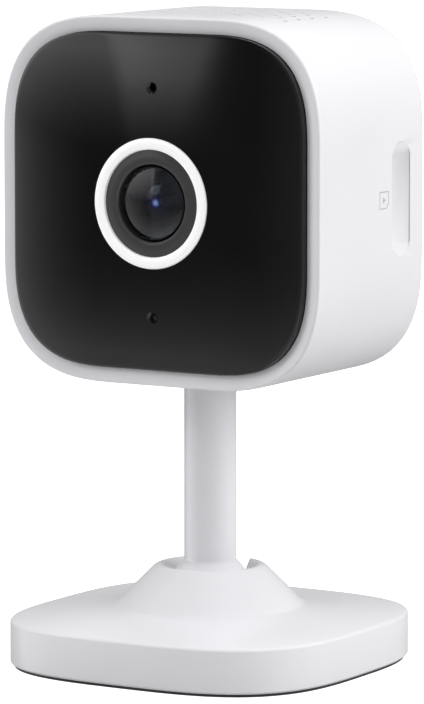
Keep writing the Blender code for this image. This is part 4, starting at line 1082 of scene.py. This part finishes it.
def baseLoops():
    # (reach, height, how much of the way to round)
    reach, edge, edgeRound = baseShape["reach"], baseShape["edgeHeight"], baseShape["edgeRound"]
    loops = [(reach, padHigh.z + 0.0003, 0), (reach, edge - edgeRound, 0)]
    for turn in (30, 60, 90):
        angle = math.radians(turn)
        across, up = reach - edgeRound * (1 - math.cos(angle)), edge - edgeRound * (1 - math.sin(angle))
        loops.append((across, up, 0))
    start = reach - edgeRound
    steps = baseShape["roundingSteps"]
    for number in range(1, steps + 1):
        t = number / steps
        across = start + (baseShape["footReach"] - start) * t
        up = edge + (baseShape["footHeight"] - edge) * t**0.92
        loops.append((across, up, t * t if number < steps else 1))
    foot = (baseShape["footReach"], baseShape["footHeight"])
    seat = ballRadius + baseShape["seatFit"]
    top = math.radians(baseShape["seatTurn"])
    seatTop = (seat * math.sin(top), ballCentre.z + seat * math.cos(top))
    curves = [
        (foot, baseShape["filletCorner"], baseShape["filletEnd"], 7),
        (baseShape["rimSlope"], baseShape["rimCorner"], baseShape["rim"], 4),
        (baseShape["rim"], baseShape["lipCorner"], baseShape["lip"], 4),
        (baseShape["lip"], baseShape["seatCorner"], seatTop, 4),
    ]
    for number, curve in enumerate(curves):
        if number == 1:
            loops.append((*baseShape["rimSlope"], 0))
        loops += [(*point, 0) for point in bezier(*curve)]
    for number in range(1, 5):
        angle = top + (math.pi / 2 - top) * number / 4
        loops.append((seat * math.sin(angle), ballCentre.z + seat * math.cos(angle), 0))
    throat = seat + baseShape["throatWall"]
    return loops + [(throat, ballCentre.z - 0.0001, 0), (throat, 0.003, 0)]


def makeBaseShell():
    size = 2 * baseShape["reach"] - baseShape["edgeRound"]
    shell = roundedFace(
        "baseShell", (size, size), size / 2, baseShape["power"], baseShape["segments"],
        (0, 0, padHigh.z), "up",
    )
    reach, height = size / 2, padHigh.z
    for newReach, newHeight, rounding in baseLoops():
        extrude((0, 0, newHeight - height))
        centre = Vector((0, 0, newHeight))
        if rounding:
            bpy.ops.transform.tosphere(value=rounding, center_override=centre)
            work = bmesh.from_edit_mesh(shell.data)
            reach = max(corner.co.x for corner in work.verts if corner.select)
        share = newReach / reach
        bpy.ops.transform.resize(value=(share, share, 1), center_override=centre)
        reach, height = newReach, newHeight
    leaveEdit(shell)
    inner = size - 2 * baseShape["wall"]
    carve(
        shell,
        roundedBlock(
            "baseHollow", (inner, inner), inner / 2, baseShape["power"], baseShape["segments"],
            (0, 0, baseShape["hollowTop"]), "up", 0.008,
        ),
    )
    for side in (1, -1):
        x = middle("base_screw_1").x * side
        boss = pin("boss", baseBoss["radius"], baseBoss["length"], (x, 0, baseBoss["up"]), sides=32)
        carve(shell, boss, operation="UNION")
        pilot = pin(
            "bossPilot", baseBoss["pilot"], baseBoss["pilotLength"], (x, 0, baseBoss["pilotUp"]), sides=24
        )
        carve(shell, pilot)
    carve(shell, *notchTools())
    return shell


notch = {"gap": 0.0005, "flare": 0.001, "lean": 80, "length": 0.0225, "turn": 20}


def notchTools():
    # a trough for the leaning stem, and a gap above it that widens upwards
    half = stemRadius + notch["gap"]
    top = baseShape["rim"][1] + 0.002
    wedge = bar(
        "wedge", (2 * half, notch["length"], top - ballCentre.z),
        (0, notch["length"] / 2, (top + ballCentre.z) / 2),
    )
    editThis(wedge, "FACE")
    pickFaces(wedge, lambda spot, normal: spot.z > top - 1e-5)
    bpy.ops.transform.resize(value=((half + notch["flare"]) / half, 1, 1), center_override=(0, 0, top))
    leaveEdit(wedge)
    lean = math.radians(notch["lean"])
    away = Vector((0, math.sin(lean), math.cos(lean)))
    trough = pin(
        "trough", half, notch["length"], ballCentre + away * notch["length"] / 2, (-lean, 0, 0), 64
    )
    for tool in (wedge, trough):
        onlyThis(tool)
        tool.rotation_euler = (0, 0, math.radians(notch["turn"]))
        bpy.ops.object.transform_apply(location=True, rotation=True, scale=True)
    return wedge, trough


def makePad():
    size = padHigh.x - padLow.x
    pad = roundedBlock(
        "footPad", (size, size), size / 2, baseShape["power"], baseShape["segments"],
        (0, 0, padHigh.z), "up", padHigh.z - padLow.z,
    )
    editThis(pad, "FACE")
    pickFaces(pad, lambda spot, normal: normal.z < -0.9)
    bpy.ops.mesh.inset(thickness=0.0025)
    bpy.ops.mesh.inset(thickness=0.0001, depth=-0.00015)
    bpy.ops.mesh.inset(thickness=0.0012)
    bpy.ops.mesh.inset(thickness=0.0001, depth=0.00015)
    return leaveEdit(pad)


print("base")
finishPiece(makeBaseShell(), whiteShell, "base", "white_shell", "base_shell")
finishPiece(makePad(), blackRubber, "base", "black_rubber", "foot_pad")

# The card drawing printed beside the slot

pictogram = {
    "size": (0.0030, 0.0028),
    "line": 0.00018,
    "cut": 0.0008,
    "centre": (0.0047, 0.0751),
    "thick": -0.00002,
    "arrow": 0.0006,
}


def makePictogram():
    y, z = pictogram["centre"]
    x = headSize[0] / 2 + 0.00001
    bpy.ops.object.select_all(action="DESELECT")
    bpy.ops.mesh.primitive_plane_add(size=1, location=(x, y, z), rotation=facings["side"][1])
    bpy.context.object.scale = (*pictogram["size"], 1)
    card = settle("cardDrawing")
    editThis(card)
    work = bmesh.from_edit_mesh(card.data)
    bpy.ops.mesh.select_all(action="DESELECT")
    for corner in work.verts:
        corner.select_set(corner.co.y > y and corner.co.z < z)
    bmesh.update_edit_mesh(card.data)
    bpy.ops.mesh.bevel(offset=pictogram["cut"], segments=1, affect="VERTICES")
    bpy.ops.mesh.select_mode(type="FACE")
    bpy.ops.mesh.select_all(action="SELECT")
    bpy.ops.mesh.inset(thickness=pictogram["line"])
    bpy.ops.mesh.delete(type="FACE")
    bpy.ops.mesh.select_all(action="SELECT")
    extrude((pictogram["thick"], 0, 0))
    leaveEdit(card)
    bpy.ops.object.select_all(action="DESELECT")
    bpy.ops.mesh.primitive_circle_add(
        vertices=3, radius=pictogram["arrow"], fill_type="NGON", location=(x, y - 0.0001, z),
        rotation=(0, math.pi / 2, 0),
    )
    arrow = settle("arrow")
    editThis(arrow, "FACE")
    extrude((pictogram["thick"], 0, 0))
    leaveEdit(arrow)
    return joinAll([card, arrow])


finishPiece(makePictogram(), printGrey, "head", "black_plastic")

# The CAD pieces that stay get their finish here

keptNodes = {
    "ir_filter": redGlass,
    "clear_filter": clearGlass,
    "rear_lens": innerGlass,
    "image_sensor": sensorGlass,
    "camera_board": greenBoard,
    "led_board": greenBoard,
    "main_board": greenBoard,
    "light_sensor": clearResin,
    "mic_gasket": blackRubber,
    "speaker_gasket": blackRubber,
    "antenna_cable": cableSkin,
    "thermal_pad": padSilicone,
    "heat_sink": sinkAluminium,
    "wifi_antenna": amberFlex,
    "speaker_cone": speakerPaper,
    "swivel_bush": linerPlastic,
    "ball_liner": linerPlastic,
    "weight_plate": weightSteel,
}
steelNodes = ["microphone", "wifi_module", "card_socket", "swivel_washer", "swivel_screw"]
steelNodes += ["base_screw_1", "base_screw_2", "board_screw_1", "board_screw_2"]
keptNodes.update(dict.fromkeys(steelNodes, platedSteel))
for number in range(1, 5):
    keptNodes[f"ir_led_{number}"] = emitterEpoxy
for name, node in nodes.items():
    if node.hide_render:
        continue
    node.data.materials.clear()
    node.data.materials.append(keptNodes.get(name, blackPlastic))

print("stage")

stage = {
    "floorTone": 0.55,
    "floorGlow": 0.9,
    "backdrop": 1.05,
    "ambient": 0.47,
    "reflected": 0.35,
}


def lightPathSwitch(tree, kind, forKind, forOthers):
    path = tree.nodes.new("ShaderNodeLightPath")
    mix = tree.nodes.new("ShaderNodeMixShader")
    tree.links.new(path.outputs[kind], mix.inputs[0])
    tree.links.new(forOthers, mix.inputs[1])
    tree.links.new(forKind, mix.inputs[2])
    return mix.outputs[0]


softbox = {"edge": 0.624, "curve": 0.31, "fade": 0.036, "low": 0.09, "slope": 5.0, "strength": 1.15}
# where each side of the room starts to lighten, how fast, and how far
roomGlow = {
    "top": (-0.08, 3.4, 1.3),
    "left": (0.68, 0.8, 0.8),
    "right": (-0.4, 0.45, 0.4),
    "bottom": (0.1, 1.3, 0.6),
}
brightest = 2.2


def calc(tree, operation, *values):
    node = tree.nodes.new("ShaderNodeMath")
    node.operation = operation
    for slot, value in enumerate(values):
        if isinstance(value, (int, float)):
            node.inputs[slot].default_value = value
        else:
            tree.links.new(value, node.inputs[slot])
    return node.outputs[0]


def rising(tree, value, start, slope, top):
    # zero up to the start, then a straight climb to the top
    climb = calc(tree, "MULTIPLY", calc(tree, "SUBTRACT", value, start), slope)
    return calc(tree, "MINIMUM", calc(tree, "MAXIMUM", climb, 0.0), top)


def studioReflection(tree):
    # what shiny faces see: a softbox ahead, cut along a curve at its left and fading to the right and down,
    # in a dark room that lightens towards its sides, top and bottom
    way = addNode(tree, "ShaderNodeTexCoord").outputs["Generated"]
    parts = addNode(tree, "ShaderNodeSeparateXYZ", [], [(0, way)]).outputs
    ahead = calc(tree, "MAXIMUM", calc(tree, "MULTIPLY", parts[1], -1.0), 0.02)
    across, up = calc(tree, "DIVIDE", parts[0], ahead), calc(tree, "DIVIDE", parts[2], ahead)
    high = calc(tree, "ADD", up, 0.02)
    bend = calc(tree, "MULTIPLY", calc(tree, "MULTIPLY", high, high), softbox["curve"])
    past = calc(tree, "ADD", calc(tree, "ADD", across, softbox["edge"]), bend)
    inside = calc(tree, "GREATER_THAN", past, 0.0)
    fade = calc(tree, "EXPONENT", calc(tree, "DIVIDE", calc(tree, "MAXIMUM", past, 0.0), -softbox["fade"]))
    glow = calc(
        tree, "MULTIPLY", inside, rising(tree, up, -softbox["low"], softbox["slope"], softbox["strength"])
    )
    top = calc(tree, "ADD", glow, rising(tree, up, *roomGlow["top"]))
    total = calc(tree, "MULTIPLY", top, fade)
    toLeft, down = calc(tree, "MULTIPLY", across, -1.0), calc(tree, "MULTIPLY", up, -1.0)
    for side, way in (("left", toLeft), ("right", across), ("bottom", down)):
        total = calc(tree, "ADD", total, rising(tree, way, *roomGlow[side]))
    total = calc(tree, "MINIMUM", total, brightest)
    behind = calc(tree, "GREATER_THAN", parts[1], 0.0)
    rest = calc(tree, "MULTIPLY", behind, stage["reflected"])
    return calc(tree, "ADD", rest, calc(tree, "MULTIPLY", total, calc(tree, "SUBTRACT", 1.0, behind)))


def makeWorld():
    world = bpy.data.worlds.new("studio")
    bpy.context.scene.world = world
    world.use_nodes = True
    tree = world.node_tree
    tree.nodes.clear()
    seen = addNode(tree, "ShaderNodeBackground", [("Color", (1, 1, 1, 1)), ("Strength", stage["backdrop"])])
    soft = addNode(
        tree, "ShaderNodeBackground", [("Color", (0.97, 0.97, 1.0, 1)), ("Strength", stage["ambient"])]
    )
    mirrored = addNode(
        tree, "ShaderNodeBackground", [("Color", (1, 0.99, 0.98, 1))], [("Strength", studioReflection(tree))]
    )
    matt = lightPathSwitch(tree, "Is Camera Ray", seen.outputs[0], soft.outputs[0])
    out = tree.nodes.new("ShaderNodeOutputWorld")
    both = lightPathSwitch(tree, "Is Glossy Ray", mirrored.outputs[0], matt)
    tree.links.new(both, out.inputs["Surface"])


def makeFloor():
    bpy.ops.object.select_all(action="DESELECT")
    bpy.ops.mesh.primitive_plane_add(size=6, location=(0, 0, -0.00002))
    floor = settle("floor")
    made, tree, shader = startMaterial("paleFloor", {"Roughness": 0.9, "Specular IOR Level": 0.1})
    shader.inputs["Base Color"].default_value = (stage["floorTone"],) * 3 + (1,)
    glow = addNode(tree, "ShaderNodeEmission", [("Color", (1, 1, 1, 1)), ("Strength", stage["floorGlow"])])
    both = tree.nodes.new("ShaderNodeAddShader")
    tree.links.new(glow.outputs[0], both.inputs[0])
    tree.links.new(shader.outputs[0], both.inputs[1])
    switched = lightPathSwitch(tree, "Is Camera Ray", both.outputs[0], shader.outputs[0])
    tree.links.new(switched, tree.nodes["Material Output"].inputs["Surface"])
    floor.data.materials.append(made)
    floor.visible_glossy = False


aim = Vector((0, 0, 0.065))
lights = {
    "rightLight": {"azimuth": 112, "elevation": 26, "distance": 0.8, "size": 0.6, "power": 5.4},
    "topLight": {"azimuth": 20, "elevation": 80, "distance": 0.8, "size": 0.7, "power": 3.4},
    "frontLight": {"azimuth": -42, "elevation": 30, "distance": 0.9, "size": 0.5, "power": 3.0},
    "backLight": {"azimuth": 200, "elevation": 35, "distance": 0.9, "size": 0.6, "power": 2.0},
}


def towards(azimuth, elevation):
    a, e = math.radians(azimuth), math.radians(elevation)
    return Vector((math.sin(a) * math.cos(e), -math.cos(a) * math.cos(e), math.sin(e)))


def makeLights():
    for name, values in lights.items():
        lamp = bpy.data.lights.new(name, "AREA")
        lamp.shape = "SQUARE"
        lamp.size = values["size"]
        lamp.energy = values["power"]
        made = bpy.data.objects.new(name, lamp)
        bpy.context.scene.collection.objects.link(made)
        way = towards(values["azimuth"], values["elevation"])
        made.location = aim + way * values["distance"]
        made.rotation_mode = "QUATERNION"
        made.rotation_quaternion = (-way).to_track_quat("-Z", "Y")
        made.visible_glossy = False


view = {
    "azimuth": 31.0,
    "elevation": 5.945,
    "distance": 0.76376,
    "target": (0.000324, 0, 0.0653),
    "lens": 245.25,
    "shift": -0.1371,
}


def makeCamera():
    lens = bpy.data.cameras.new("camera")
    lens.lens = view["lens"]
    lens.sensor_width = 36
    lens.shift_y = view["shift"]
    lens.clip_start = 0.01
    camera = bpy.data.objects.new("camera", lens)
    bpy.context.scene.collection.objects.link(camera)
    back = towards(view["azimuth"], view["elevation"])
    camera.location = Vector(view["target"]) + back * view["distance"]
    camera.rotation_mode = "QUATERNION"
    camera.rotation_quaternion = (-back).to_track_quat("-Z", "Y")
    bpy.context.scene.camera = camera


makeWorld()
makeFloor()
makeLights()
makeCamera()
bpy.context.scene.view_settings.view_transform = "Standard"
